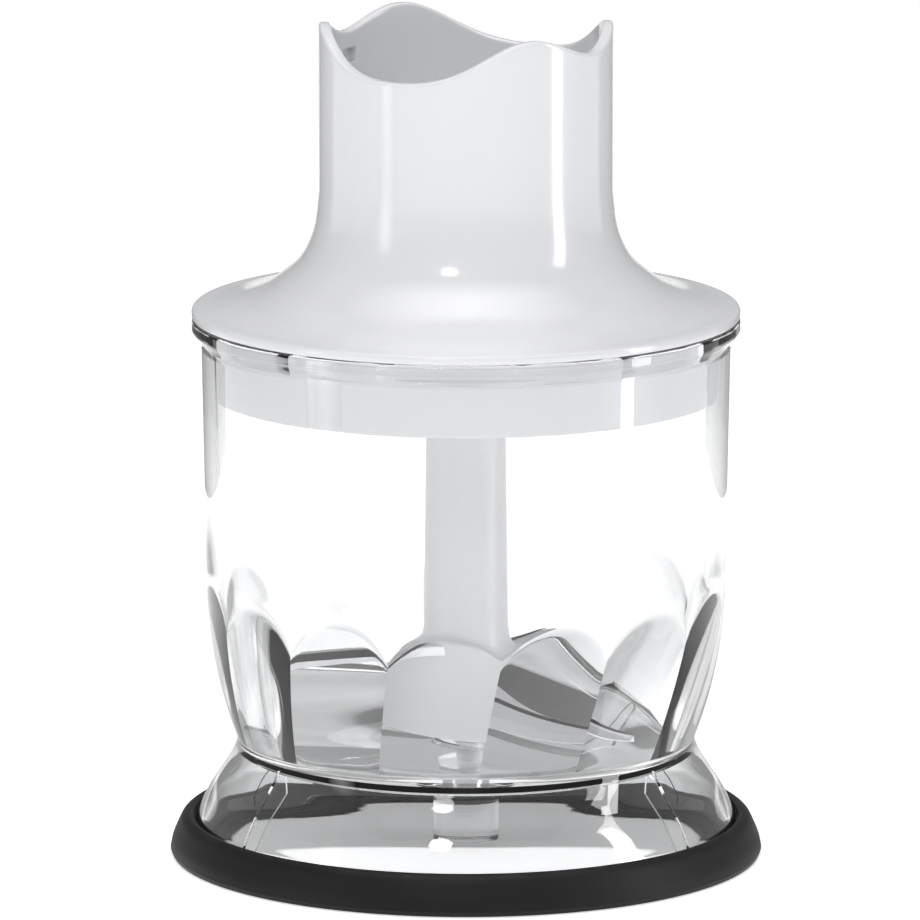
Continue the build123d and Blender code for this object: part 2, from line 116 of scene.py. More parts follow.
def trace(corners: list[Corner], closed: bool, steps: int = 5) -> list[Corner]:
    """Rounds the filleted corners of a profile and adds a supporting row beside each.

    Args:
        corners: The profile, walked with the solid on its left.
        closed: Whether the last corner joins the first.
        steps: Rows in each rounded corner.

    Returns:
        The finished profile, without fillets.
    """
    traced = []
    for index, corner in enumerate(corners):
        if corner.fillet <= 0:
            traced.append(corner)
            continue
        before = corners[index - 1]
        after = corners[(index + 1) % len(corners)]
        back, ahead = corner.distance(before), corner.distance(after)
        turn = math.atan2(after.height - corner.height, after.radius - corner.radius)
        turn -= math.atan2(corner.height - before.height, corner.radius - before.radius)
        bend = abs((turn + math.pi) % (2 * math.pi) - math.pi)
        reach = min(corner.fillet * math.tan(bend / 2), 0.45 * back, 0.45 * ahead)
        start, end = corner.towards(before, reach), corner.towards(after, reach)
        if back > 3 * reach:
            traced.append(corner.towards(before, 1.5 * reach))
        for step in range(steps + 1):
            part = step / steps
            first = start.towards(corner, part * reach)
            second = corner.towards(end, part * reach)
            traced.append(first.towards(second, part * first.distance(second)))
        if ahead > 3 * reach:
            traced.append(corner.towards(after, 1.5 * reach))
    if closed:
        traced.append(traced[0])
    return traced


def smooth_curve(points: list[tuple[float, float]], steps: int = 6) -> list[tuple[float, float]]:
    """Draws a smooth curve through points (Catmull-Rom).

    Args:
        points: The points that the curve passes through.
        steps: Parts of the curve between two points.

    Returns:
        Points along the curve, both ends included.
    """
    ends = [points[0], *points, points[-1]]
    curve = []
    for a, b, c, d in zip(ends, ends[1:], ends[2:], ends[3:]):
        for step in range(steps):
            t = step / steps
            curve.append(
                tuple(
                    0.5 * (2 * q + (r - p) * t + (2 * p - 5 * q + 4 * r - s) * t**2
                           + (3 * q - p - 3 * r + s) * t**3)
                    for p, q, r, s in zip(a, b, c, d)
                )
            )
    return [*curve, points[-1]]


def plain(points: list[tuple[float, float]]) -> list[Corner]:
    """Turns plain points into corners of a profile."""
    return [Corner(radius, height) for radius, height in points]


def inset(points: list[tuple[float, float]], distance: float) -> list[tuple[float, float]]:
    """Moves the inner points of a curve sideways, to its left.

    Args:
        points: Points along the curve.
        distance: How far, in the points' unit.

    Returns:
        The moved points, without the curve's two ends.
    """
    moved = []
    for before, here, after in zip(points, points[1:], points[2:]):
        along = Vector((after[0] - before[0], after[1] - before[1])).normalized()
        moved.append((here[0] - distance * along.y, here[1] + distance * along.x))
    return moved


# --- node trees ---------------------------------------------------------------------------
class Field:
    """A number in a node tree that can be reckoned with like any other number."""

    def __init__(self, tree: bpy.types.NodeTree, source: object) -> None:
        """Wraps a socket or a plain number of a tree."""
        self.tree = tree
        self.source = source

    def plug(self, socket: bpy.types.NodeSocket) -> None:
        """Feeds the number into a node's input.

        Args:
            socket: The input.
        """
        if isinstance(self.source, bpy.types.NodeSocket):
            self.tree.links.new(self.source, socket)
        else:
            socket.default_value = self.source

    def reckon(self, operation: str, *others: object) -> "Field":
        """Makes a Math node.

        Args:
            operation: The Math node's operation.
            others: Its second and third numbers, fields or plain numbers.

        Returns:
            The node's result.
        """
        node = self.tree.nodes.new("ShaderNodeMath")
        node.operation = operation
        for socket, value in zip(node.inputs, (self, *others)):
            value = value if isinstance(value, Field) else Field(self.tree, value)
            value.plug(socket)
        return Field(self.tree, node.outputs[0])

    def __add__(self, other: object) -> "Field":
        """Returns the sum."""
        return self.reckon("ADD", other)

    def __sub__(self, other: object) -> "Field":
        """Returns the difference."""
        return self.reckon("SUBTRACT", other)

    def __mul__(self, other: object) -> "Field":
        """Returns the product."""
        return self.reckon("MULTIPLY", other)

    def __truediv__(self, other: object) -> "Field":
        """Returns the quotient."""
        return self.reckon("DIVIDE", other)

    def cos(self) -> "Field":
        """Returns the cosine."""
        return self.reckon("COSINE")

    def sin(self) -> "Field":
        """Returns the sine."""
        return self.reckon("SINE")

    def root(self) -> "Field":
        """Returns the square root."""
        return self.reckon("SQRT")

    def equals(self, number: float) -> "Field":
        """Returns 1 where the field has this value, else 0."""
        return self.reckon("COMPARE", number, 0.25)


def add_node(tree: bpy.types.NodeTree, kind: str, **settings: object) -> bpy.types.Node:
    """Adds a node and sets its properties.

    Args:
        tree: The tree that the node goes into.
        kind: The node's type.
        settings: Values of the node's own properties.

    Returns:
        The node.
    """
    node = tree.nodes.new(kind)
    for name, value in settings.items():
        setattr(node, name, value)
    return node


def pass_through(tree: bpy.types.NodeTree, geometry: bpy.types.NodeSocket,
                 *nodes: bpy.types.Node) -> bpy.types.NodeSocket:
    """Passes geometry through nodes, one after another.

    Args:
        tree: The tree that they are in.
        geometry: The geometry that goes into the first node.
        nodes: The nodes, each with an input and an output named Geometry.

    Returns:
        The last node's geometry.
    """
    for node in nodes:
        tree.links.new(geometry, node.inputs["Geometry"])
        geometry = node.outputs["Geometry"]
    return geometry


def end_tree(tree: bpy.types.NodeTree, given: bpy.types.Node, geometry: bpy.types.NodeSocket,
             result: str) -> None:
    """Ends a geometry tree in Realize Instances, Set Material and its output.

    Args:
        tree: The tree.
        given: Its input node, which has a Finish.
        geometry: The geometry that the tree makes.
        result: The name of the tree's output.
    """
    realised = add_node(tree, "GeometryNodeRealizeInstances")
    dressed = add_node(tree, "GeometryNodeSetMaterial")
    tree.links.new(given.outputs["Finish"], dressed.inputs["Material"])
    out = add_node(tree, "NodeGroupOutput")
    tree.links.new(pass_through(tree, geometry, realised, dressed), out.inputs[result])


@dataclass(frozen=True)
class Turning:
    """The settings of one turned moulding, in metres and radians, as the tree's inputs.

    Attributes:
        columns: Points round the axis.
        flats: Sides of a flat-sided row, and facets of an arched one.
        flat_turn: Angle of the first side's start.
        flat_apothem: Distance of the flat sides from the axis.
        wave_two: Height of the wave that rises twice in a turn, as wave_four and wave_six are
            for those that rise four and six times.
        wave_turn: Angle of the waves' first crest.
        facet_floor: Height of the facets' lower end.
        facet_top: Height above which no facet reaches.
        facet_apothem: Distance of the facets' lower end from the axis.
        facet_slope: How much a facet leans outwards, per metre of height.
        facet_lean: Angle by which a facet's lower end is turned against its top.
        arch_round: How softly a facet runs into the barrel wall.
        barrel_centre: Radius at which the barrel wall's arc has its centre.
        barrel_arc: Radius of that arc.
        barrel_height: Height at which the barrel is widest.
    """

    columns: int = 224
    flats: float = float(SIDES)
    flat_turn: float = SIDE_TURN
    flat_apothem: float = 0.05
    wave_two: float = 0.0
    wave_four: float = 0.0
    wave_six: float = 0.0
    wave_turn: float = 0.0
    facet_floor: float = 0.0
    facet_top: float = 1.0
    facet_apothem: float = 0.04
    facet_slope: float = 0.2
    facet_lean: float = 0.0
    arch_round: float = 0.0
    barrel_centre: float = 0.0
    barrel_arc: float = 1.0
    barrel_height: float = 0.0


class TurnedTree:
    """Geometry Nodes tree that carries a profile round the Z axis by each row's rule."""

    name = "turned_moulding"
    arch_rounds = 7
    weld_distance = 1e-6

    def __init__(self) -> None:
        """Makes the tree with one input for each setting."""
        self.tree = bpy.data.node_groups.new(self.name, "GeometryNodeTree")
        self.inputs: dict[str, str] = {}
        face = self.tree.interface
        face.new_socket(name="Section", in_out="INPUT", socket_type="NodeSocketGeometry")
        for setting, value in vars(Turning()).items():
            kind = "NodeSocketInt" if isinstance(value, int) else "NodeSocketFloat"
            title = setting.replace("_", " ").title()
            socket = face.new_socket(name=title, in_out="INPUT", socket_type=kind)
            self.inputs[setting] = socket.identifier
        socket = face.new_socket(name="Finish", in_out="INPUT", socket_type="NodeSocketMaterial")
        self.inputs["finish"] = socket.identifier
        face.new_socket(name="Moulding", in_out="OUTPUT", socket_type="NodeSocketGeometry")
        self.wire()

    def given(self, group: bpy.types.Node, setting: str) -> Field:
        """Returns one of the tree's inputs as a field."""
        title = setting.replace("_", " ").title()
        return Field(self.tree, group.outputs[title])

    def sampled(self, group: bpy.types.Node, value: bpy.types.NodeSocket, row: Field,
                vector: bool = False) -> bpy.types.NodeSocket:
        """Reads a value of the section's point that a row belongs to.

        Args:
            group: The tree's input node.
            value: What is read.
            row: The point's number.
            vector: Whether the value is a vector.

        Returns:
            The value that was read.
        """
        kind = "FLOAT_VECTOR" if vector else "FLOAT"
        node = add_node(self.tree, "GeometryNodeSampleIndex", data_type=kind, domain="POINT")
        self.tree.links.new(group.outputs["Section"], node.inputs["Geometry"])
        self.tree.links.new(value, node.inputs["Value"])
        row.plug(node.inputs["Index"])
        return node.outputs["Value"]

    def named(self, attribute: str) -> bpy.types.NodeSocket:
        """Finds an attribute of the section.

        Args:
            attribute: Its name.

        Returns:
            Its value.
        """
        node = add_node(self.tree, "GeometryNodeInputNamedAttribute", data_type="FLOAT")
        node.inputs["Name"].default_value = attribute
        return node.outputs["Attribute"]

    def store(self, name: str, value: Field) -> bpy.types.Node:
        """Makes a node that keeps a field as an attribute of the mesh's points.

        Args:
            name: The attribute's name.
            value: The field.

        Returns:
            The node.
        """
        node = add_node(
            self.tree, "GeometryNodeStoreNamedAttribute", data_type="FLOAT", domain="POINT"
        )
        node.inputs["Name"].default_value = name
        value.plug(node.inputs["Value"])
        return node

    def wire(self) -> None:
        """Builds the tree's nodes: a grid with a row for each point of the section, wound up."""
        tree = self.tree
        group = add_node(tree, "NodeGroupInput")
        size = add_node(tree, "GeometryNodeAttributeDomainSize", component="MESH")
        tree.links.new(group.outputs["Section"], size.inputs["Geometry"])
        rows = Field(tree, size.outputs["Point Count"])
        columns = self.given(group, "columns")
        grid = add_node(tree, "GeometryNodeMeshGrid")
        columns.plug(grid.inputs["Size X"])
        (rows - 1).plug(grid.inputs["Size Y"])
        (columns + 1).plug(grid.inputs["Vertices X"])
        rows.plug(grid.inputs["Vertices Y"])
        place = add_node(tree, "ShaderNodeSeparateXYZ")
        tree.links.new(add_node(tree, "GeometryNodeInputPosition").outputs[0], place.inputs[0])
        column = (Field(tree, place.outputs["X"]) + columns / 2).reckon("ROUND")
        row = (Field(tree, place.outputs["Y"]) + (rows - 1) / 2).reckon("ROUND")

        position = add_node(tree, "GeometryNodeInputPosition").outputs[0]
        point = add_node(tree, "ShaderNodeSeparateXYZ")
        tree.links.new(self.sampled(group, position, row, vector=True), point.inputs[0])
        radius = Field(tree, point.outputs["X"])
        height = Field(tree, point.outputs["Z"])
        rule = Field(tree, self.sampled(group, self.named("rule"), row))
        share = Field(tree, self.sampled(group, self.named("share"), row))
        crease = Field(tree, self.sampled(group, self.named("crease"), row))

        turn = column / columns * (2 * math.pi)
        flat_width = Field(tree, 2 * math.pi) / self.given(group, "flats")
        off_middle = turn.reckon("FLOORED_MODULO", flat_width) - flat_width / 2
        flat_cos = off_middle.cos()
        angle = turn + self.given(group, "flat_turn")

        around = angle - self.given(group, "wave_turn")
        wave = (around * 2).cos() * self.given(group, "wave_two")
        wave = wave + (around * 4).cos() * self.given(group, "wave_four")
        wave = wave + (around * 6).cos() * self.given(group, "wave_six")

        floor, top = self.given(group, "facet_floor"), self.given(group, "facet_top")
        apothem, slope = self.given(group, "facet_apothem"), self.given(group, "facet_slope")
        centre, arc = self.given(group, "barrel_centre"), self.given(group, "barrel_arc")
        widest = self.given(group, "barrel_height")

        def barrel(level: Field) -> Field:
            """Radius of the barrel wall at a height."""
            drop = widest - level
            return centre + (arc * arc - drop * drop).root()

        arch = top
        for _ in range(self.arch_rounds):
            arch = floor + (flat_cos * barrel(arch) - apothem) / slope
        below = floor + share * (arch - floor)
        above = arch + share * (top - arch)

        is_wavy = rule.equals(Rule.WAVY.value)
        is_flat = rule.equals(Rule.FLATS.value)
        is_notched = rule.equals(Rule.NOTCHED.value)
        is_below = rule.equals(Rule.BELOW_ARCH.value)
        is_above = rule.equals(Rule.ABOVE_ARCH.value)
        is_facet = is_below + is_above
        new_height = height + is_wavy * share * wave
        new_height = new_height + is_below * (below - height) + is_above * (above - height)
        flat_radius = self.given(group, "flat_apothem") / flat_cos
        new_radius = radius + is_flat * (flat_radius - radius)
        new_radius = new_radius + is_notched * (flat_radius.reckon("MAXIMUM", radius) - radius)
        rounding = self.given(group, "arch_round")
        plane_radius = (apothem + slope * (new_height - floor)) / flat_cos
        softened = plane_radius.reckon("SMOOTH_MIN", barrel(new_height), rounding)
        new_radius = new_radius + is_facet * (softened - radius)
        drop = (top - new_height) / (top - floor)
        angle = angle - is_facet * drop * self.given(group, "facet_lean")

        joined = add_node(tree, "ShaderNodeCombineXYZ")
        (new_radius * angle.cos()).plug(joined.inputs["X"])
        (new_radius * angle.sin()).plug(joined.inputs["Y"])
        new_height.plug(joined.inputs["Z"])
        kept = {"row": row, "column": column, "rule": rule, "crease": crease}
        stores = [self.store(name, value) for name, value in kept.items()]
        placed = add_node(tree, "GeometryNodeSetPosition")
        tree.links.new(joined.outputs[0], placed.inputs["Position"])
        welded = add_node(tree, "GeometryNodeMergeByDistance")
        welded.inputs["Distance"].default_value = self.weld_distance
        smooth = add_node(tree, "GeometryNodeSetShadeSmooth")
        mesh = pass_through(tree, grid.outputs["Mesh"], *stores, placed, welded, smooth)
        end_tree(tree, group, mesh, "Moulding")

    def turn(self, name: str, section: list[Corner], turning: Turning,
             finish: bpy.types.Material) -> bpy.types.Object:
        """Turns a profile into a finished mesh.

        Args:
            name: The piece's name.
            section: The traced profile.
            turning: The tree's settings.
            finish: The piece's material.

        Returns:
            The piece, a plain mesh object at the origin.
        """
        data = bpy.data.meshes.new(f"{name}_section")
        points = [(c.radius * MM, 0.0, c.height * MM) for c in section]
        data.from_pydata(points, [(i, i + 1) for i in range(len(points) - 1)], [])
        values = {
            "rule": [float(c.rule.value) for c in section],
            "share": [c.share for c in section],
            "crease": [float(c.crease) for c in section],
        }
        for title, numbers in values.items():
            data.attributes.new(title, "FLOAT", "POINT").data.foreach_set("value", numbers)
        piece = bpy.data.objects.new(name, data)
        bpy.context.scene.collection.objects.link(piece)
        modifier = piece.modifiers.new("turned", "NODES")
        modifier.node_group = self.tree
        for setting, value in vars(turning).items():
            modifier[self.inputs[setting]] = value
        modifier[self.inputs["finish"]] = finish
        flatten(piece)
        mark_creases(piece.data, turning)
        return piece


def flatten(piece: bpy.types.Object) -> None:
    """Replaces an object's modifiers by the mesh that they make.

    Args:
        piece: The object.
    """
    graph = bpy.context.evaluated_depsgraph_get()
    mesh = bpy.data.meshes.new_from_object(piece.evaluated_get(graph))
    piece.modifiers.clear()
    piece.data = mesh
    mesh.name = piece.name


def mark_creases(mesh: bpy.types.Mesh, turning: Turning, angle: float = 28.0) -> None:
    """Marks a turned mesh's crisp edges: steep corners, creased rows and the facets' sides.

    Args:
        mesh: The turned mesh, with its row, column, rule and crease attributes.
        turning: The settings that it was made with.
        angle: Corners sharper than this are crisp, in degrees.
    """
    count = len(mesh.vertices)
    marks = {}
    for title in ("row", "column", "rule", "crease"):
        marks[title] = np.zeros(count)
        mesh.attributes[title].data.foreach_get("value", marks[title])
    mesh.set_sharp_from_angle(angle=math.radians(angle))
    ends = np.zeros(len(mesh.edges) * 2, int)
    mesh.edges.foreach_get("vertices", ends)
    first, second = ends[0::2], ends[1::2]
    along_row = (marks["row"][first] == marks["row"][second]) & (marks["crease"][first] > 0.5)
    pitch = turning.columns / turning.flats
    on_side = np.isclose(marks["column"] % pitch, 0)
    faceted = np.isin(
        marks["rule"], (Rule.FLATS.value, Rule.NOTCHED.value, Rule.BELOW_ARCH.value)
    )
    corner = on_side & faceted
    down_side = (marks["column"][first] == marks["column"][second]) & corner[first] & corner[second]
    if "sharp_edge" not in mesh.attributes:
        mesh.attributes.new("sharp_edge", "BOOLEAN", "EDGE")
    sharp = np.zeros(len(mesh.edges), bool)
    mesh.attributes["sharp_edge"].data.foreach_get("value", sharp)
    sharp |= along_row | down_side
    mesh.attributes["sharp_edge"].data.foreach_set("value", sharp)
    for title in marks:
        mesh.attributes.remove(mesh.attributes[title])
    mesh.update()


class RingTree:
    """Geometry Nodes tree that repeats a mesh evenly round the Z axis."""

    name = "repeated_round_axis"

    def __init__(self) -> None:
        """Makes the tree and its inputs."""
        self.tree = bpy.data.node_groups.new(self.name, "GeometryNodeTree")
        face = self.tree.interface
        face.new_socket(name="Piece", in_out="INPUT", socket_type="NodeSocketGeometry")
        count = face.new_socket(name="Count", in_out="INPUT", socket_type="NodeSocketInt")
        turn = face.new_socket(name="First Turn", in_out="INPUT", socket_type="NodeSocketFloat")
        finish = face.new_socket(name="Finish", in_out="INPUT", socket_type="NodeSocketMaterial")
        self.inputs = (count.identifier, turn.identifier, finish.identifier)
        face.new_socket(name="Ring", in_out="OUTPUT", socket_type="NodeSocketGeometry")
        self.wire()

    def wire(self) -> None:
        """Builds the tree's nodes: copies on points that all lie at the origin."""
        tree = self.tree
        group = add_node(tree, "NodeGroupInput")
        points = add_node(tree, "GeometryNodeMeshLine")
        tree.links.new(group.outputs["Count"], points.inputs["Count"])
        points.inputs["Offset"].default_value = (0.0, 0.0, 0.0)
        number = Field(tree, add_node(tree, "GeometryNodeInputIndex").outputs[0])
        turn = number / Field(tree, group.outputs["Count"]) * (2 * math.pi)
        turn = turn + Field(tree, group.outputs["First Turn"])
        rotation = add_node(tree, "ShaderNodeCombineXYZ")
        turn.plug(rotation.inputs["Z"])
        instances = add_node(tree, "GeometryNodeInstanceOnPoints")
        tree.links.new(points.outputs["Mesh"], instances.inputs["Points"])
        tree.links.new(group.outputs["Piece"], instances.inputs["Instance"])
        tree.links.new(rotation.outputs[0], instances.inputs["Rotation"])
        end_tree(tree, group, instances.outputs["Instances"], "Ring")

    def repeat(self, piece: bpy.types.Object, count: int, first_turn: float,
               finish: bpy.types.Material) -> None:
        """Replaces a piece's mesh by copies of it round the axis.

        Args:
            piece: The object to repeat.
            count: How many copies.
            first_turn: Angle of the first copy, in radians.
            finish: The copies' material.
        """
        modifier = piece.modifiers.new("repeated", "NODES")
        modifier.node_group = self.tree
        for identifier, value in zip(self.inputs, (count, first_turn, finish)):
            modifier[identifier] = value
        flatten(piece)


def prism(name: str, outline: list[tuple[float, float]], thickness: float) -> bpy.types.Object:
    """Makes a plate in the XZ plane, as thick either side of it.

    Args:
        name: The object's name.
        outline: Corners (x, z) in millimetres, anticlockwise seen from the front.
        thickness: In millimetres.

    Returns:
        The plate's object.
    """
    count = len(outline)
    half = thickness / 2
    points = [(x * MM, side * half * MM, z * MM) for side in (-1, 1) for x, z in outline]
    faces = [tuple(range(count)), tuple(reversed(range(count, 2 * count)))]
    for here in range(count):
        ahead = (here + 1) % count
        faces.append((ahead, here, here + count, ahead + count))
    data = bpy.data.meshes.new(name)
    data.from_pydata(points, [], faces)
    piece = bpy.data.objects.new(name, data)
    bpy.context.scene.collection.objects.link(piece)
    return piece


def combine(piece: bpy.types.Object, tool: bpy.types.Object, operation: str) -> None:
    """Joins a tool to a piece, or cuts it away, and removes the tool.

    Args:
        piece: The object that is kept.
        tool: The closed object that is joined or cut away.
        operation: UNION or DIFFERENCE.
    """
    modifier = piece.modifiers.new("combined", "BOOLEAN")
    modifier.operation = operation
    modifier.object = tool
    modifier.solver = "EXACT"
    flatten(piece)
    bpy.data.objects.remove(tool)


# --- finishes -----------------------------------------------------------------------------
COAT_ROUGHNESS = 0.06
MARK_ROUGHNESS = 0.25
CLEAR_MARK_ROUGHNESS = 0.12
MARK_DEPTH = 0.5
DUST_COLOUR = (0.62, 0.6, 0.57)


class Effects:
    """Shader node groups that several finishes share."""

    scratch_level = 0.62
    scratch_gain = 9.0
    dust_level = 0.4
    dust_gain = 3.0

    def __init__(self) -> None:
        """Builds the groups."""
        self.grain = self.make_grain()
        self.marks = self.make_marks()
        self.dust = self.make_dust()
        self.brushing = self.make_brushing()

    @staticmethod
    def new_group(name: str, inputs: dict[str, float], outputs: tuple[str, ...]) -> tuple:
        """Makes an empty shader group.

        Args:
            name: The group's name.
            inputs: Its inputs' names and default values.
            outputs: Its outputs' names.

        Returns:
            The group, its input node and its output node.
        """
        group = bpy.data.node_groups.new(name, "ShaderNodeTree")
        for title, value in inputs.items():
            socket = group.interface.new_socket(
                name=title, in_out="INPUT", socket_type="NodeSocketFloat"
            )
            socket.default_value = value
        for title in outputs:
            group.interface.new_socket(
                name=title, in_out="OUTPUT", socket_type="NodeSocketFloat"
            )
        return group, add_node(group, "NodeGroupInput"), add_node(group, "NodeGroupOutput")

    @staticmethod
    def noise(group: bpy.types.NodeTree, vector: bpy.types.NodeSocket,
              scale: bpy.types.NodeSocket, detail: float, roughness: float = 0.5) -> Field:
        """Adds a noise texture to a group.

        Args:
            group: The shader group.
            vector: Where the noise is read.
            scale: How fine it is.
            detail: How many finer layers it has.
            roughness: How strong those layers are.

        Returns:
            The noise as a field, about 0.5 on average.
        """
        node = add_node(group, "ShaderNodeTexNoise")
        node.inputs["Detail"].default_value = detail
        node.inputs["Roughness"].default_value = roughness
        group.links.new(vector, node.inputs["Vector"])
        group.links.new(scale, node.inputs["Scale"])
        return Field(group, node.outputs[0])

    def make_grain(self) -> bpy.types.NodeTree:
        """Makes fine moulded grain: a height and a slow change of tone.

        Returns:
            The shader group.
        """
        group, given, result = self.new_group(
            "moulded_grain", {"Scale": 900.0, "Slow Scale": 25.0}, ("Height", "Tone")
        )
        place = add_node(group, "ShaderNodeTexCoord").outputs["Object"]
        for scale, detail, output in (("Scale", 3.0, "Height"), ("Slow Scale", 2.0, "Tone")):
            self.noise(group, place, given.outputs[scale], detail).plug(result.inputs[output])
        return group

    def make_marks(self) -> bpy.types.NodeTree:
        """Makes faint hairline scratches and wiping marks, as a mask from 0 to 1.

        Returns:
            The shader group.
        """
        group, given, result = self.new_group(
            "handling_marks", {"Scale": 60.0, "Amount": 0.3}, ("Mask",)
        )
        place = add_node(group, "ShaderNodeTexCoord").outputs["Object"]
        strokes = []
        for turn, stretch in ((0.5, 28.0), (-0.9, 34.0)):
            mapping = add_node(group, "ShaderNodeMapping")
            mapping.inputs["Rotation"].default_value = (turn, turn * 0.6, turn)
            mapping.inputs["Scale"].default_value = (1.0, stretch, 1.0)
            group.links.new(place, mapping.inputs["Vector"])
            stroke = self.noise(group, mapping.outputs[0], given.outputs["Scale"], 4.0)
            stroke = (stroke - self.scratch_level) * self.scratch_gain
            strokes.append(stroke.reckon("MAXIMUM", 0.0))
        both = strokes[0].reckon("MAXIMUM", strokes[1]).reckon("MINIMUM", 1.0)
        (both * Field(group, given.outputs["Amount"])).plug(result.inputs["Mask"])
        return group

    def make_dust(self) -> bpy.types.NodeTree:
        """Makes a little dust on faces that look up, as a mask from 0 to 1.

        Returns:
            The shader group.
        """
        group, given, result = self.new_group(
            "settled_dust", {"Scale": 140.0, "Amount": 0.15}, ("Mask",)
        )
        normal = add_node(group, "ShaderNodeSeparateXYZ")
        face = add_node(group, "ShaderNodeNewGeometry")
        group.links.new(face.outputs["Normal"], normal.inputs[0])
        place = add_node(group, "ShaderNodeTexCoord").outputs["Object"]
        cloud = self.noise(group, place, given.outputs["Scale"], 5.0)
        up = Field(group, normal.outputs["Z"]).reckon("MAXIMUM", 0.0).reckon("POWER", 3.0)
        patch = ((cloud - self.dust_level) * self.dust_gain).reckon("MAXIMUM", 0.0)
        mask = up * patch.reckon("MINIMUM", 1.0) * Field(group, given.outputs["Amount"])
        mask.plug(result.inputs["Mask"])
        return group

    def make_brushing(self) -> bpy.types.NodeTree:
        """Makes grinding lines along the X axis, as a height and a tone.

        Returns:
            The shader group.
        """
        group, given, result = self.new_group(
            "grinding_lines", {"Scale": 220.0, "Stretch": 0.03}, ("Height", "Tone")
        )
        place = add_node(group, "ShaderNodeTexCoord").outputs["Object"]
        stretch = add_node(group, "ShaderNodeCombineXYZ")
        stretch.inputs["Y"].default_value = 1.0
        stretch.inputs["Z"].default_value = 1.0
        group.links.new(given.outputs["Stretch"], stretch.inputs["X"])
        mapping = add_node(group, "ShaderNodeMapping")
        group.links.new(place, mapping.inputs["Vector"])
        group.links.new(stretch.outputs[0], mapping.inputs["Scale"])
        lines = self.noise(group, mapping.outputs[0], given.outputs["Scale"], 6.0, roughness=0.65)
        for output in ("Height", "Tone"):
            lines.plug(result.inputs[output])
        return group


@dataclass(frozen=True)
class Finish:
    """A surface finish: constants of the shader and how strongly the shared effects show.

    Attributes:
        slot: The record's material slot.
        colour: Colour of the surface.
        shade: Colour that the slow change of tone leads to.
        roughness: Its roughness where the tone is even.
        roughness_spread: How far the tone changes the roughness, up and down.
        metallic: Metallic of the shader, as specular, ior and coat are.
        grain_scale: How fine the grain is, or the grinding lines.
        grain_depth: Depth of the grain in millimetres.
        slow_scale: How fine the change of tone is.
        marks: How strong the scratches are, from 0 to 1.
        dust: How strong the dust is, from 0 to 1.
        brushed: Whether the surface is ground, not moulded.
        stretch: Length of the grinding lines, smaller for longer ones.
    """

    slot: str
    colour: tuple[float, float, float]
    shade: tuple[float, float, float]
    roughness: float
    roughness_spread: float = 0.06
    metallic: float = 0.0
    specular: float = 0.5
    ior: float = 1.5
    coat: float = 0.0
    grain_scale: float = 900.0
    grain_depth: float = 0.02
    slow_scale: float = 25.0
    marks: float = 0.2
    dust: float = 0.0
    brushed: bool = False
    stretch: float = 0.03

    def build(self, effects: Effects) -> bpy.types.Material:
        """Builds the finish's material.

        Args:
            effects: The shared shader groups.

        Returns:
            The material.
        """
        material = bpy.data.materials.new(self.slot)
        material.use_nodes = True
        tree = material.node_tree
        shader = tree.nodes["Principled BSDF"]
        shader.inputs["Metallic"].default_value = self.metallic
        shader.inputs["IOR"].default_value = self.ior
        shader.inputs["Specular IOR Level"].default_value = self.specular
        shader.inputs["Coat Weight"].default_value = self.coat
        shader.inputs["Coat Roughness"].default_value = COAT_ROUGHNESS
        surface = self.placed(tree, effects.brushing if self.brushed else effects.grain)
        surface.inputs["Scale"].default_value = self.grain_scale
        if self.brushed:
            surface.inputs["Stretch"].default_value = self.stretch
        else:
            surface.inputs["Slow Scale"].default_value = self.slow_scale
        marks = self.placed(tree, effects.marks)
        marks.inputs["Amount"].default_value = self.marks
        tint = self.mixed(tree, surface.outputs["Tone"], self.colour, self.shade)
        if self.dust > 0:
            dust = self.placed(tree, effects.dust)
            dust.inputs["Amount"].default_value = self.dust
            tint = self.mixed(tree, dust.outputs["Mask"], tint, DUST_COLOUR)
        tree.links.new(tint, shader.inputs["Base Color"])
        tone = Field(tree, surface.outputs["Tone"])
        rough = (tone - 0.5) * (2 * self.roughness_spread) + self.roughness
        scratched = Field(tree, marks.outputs["Mask"])
        rough = rough + scratched * MARK_ROUGHNESS
        rough.reckon("MAXIMUM", 0.02).plug(shader.inputs["Roughness"])
        bump = add_node(tree, "ShaderNodeBump")
        bump.inputs["Distance"].default_value = self.grain_depth * MM
        height = Field(tree, surface.outputs["Height"]) - scratched * MARK_DEPTH
        height.plug(bump.inputs["Height"])
        tree.links.new(bump.outputs["Normal"], shader.inputs["Normal"])
        return material

    @staticmethod
    def placed(tree: bpy.types.NodeTree, group: bpy.types.NodeTree) -> bpy.types.Node:
        """Places a shared group in a material."""
        return add_node(tree, "ShaderNodeGroup", node_tree=group)

    @staticmethod
    def mixed(tree: bpy.types.NodeTree, share: bpy.types.NodeSocket, first: object,
              second: object) -> bpy.types.NodeSocket:
        """Mixes two colours.

        Args:
            tree: The material's tree.
            share: How much of the second colour shows, from 0 to 1.
            first: The first colour, a socket or three numbers.
            second: The second colour, likewise.

        Returns:
            The mixed colour.
        """
        node = add_node(tree, "ShaderNodeMix", data_type="RGBA")
        tree.links.new(share, node.inputs["Factor"])
        for socket, colour in ((node.inputs[6], first), (node.inputs[7], second)):
            if isinstance(colour, bpy.types.NodeSocket):
                tree.links.new(colour, socket)
            else:
                socket.default_value = (*colour, 1.0)
        return node.outputs[2]


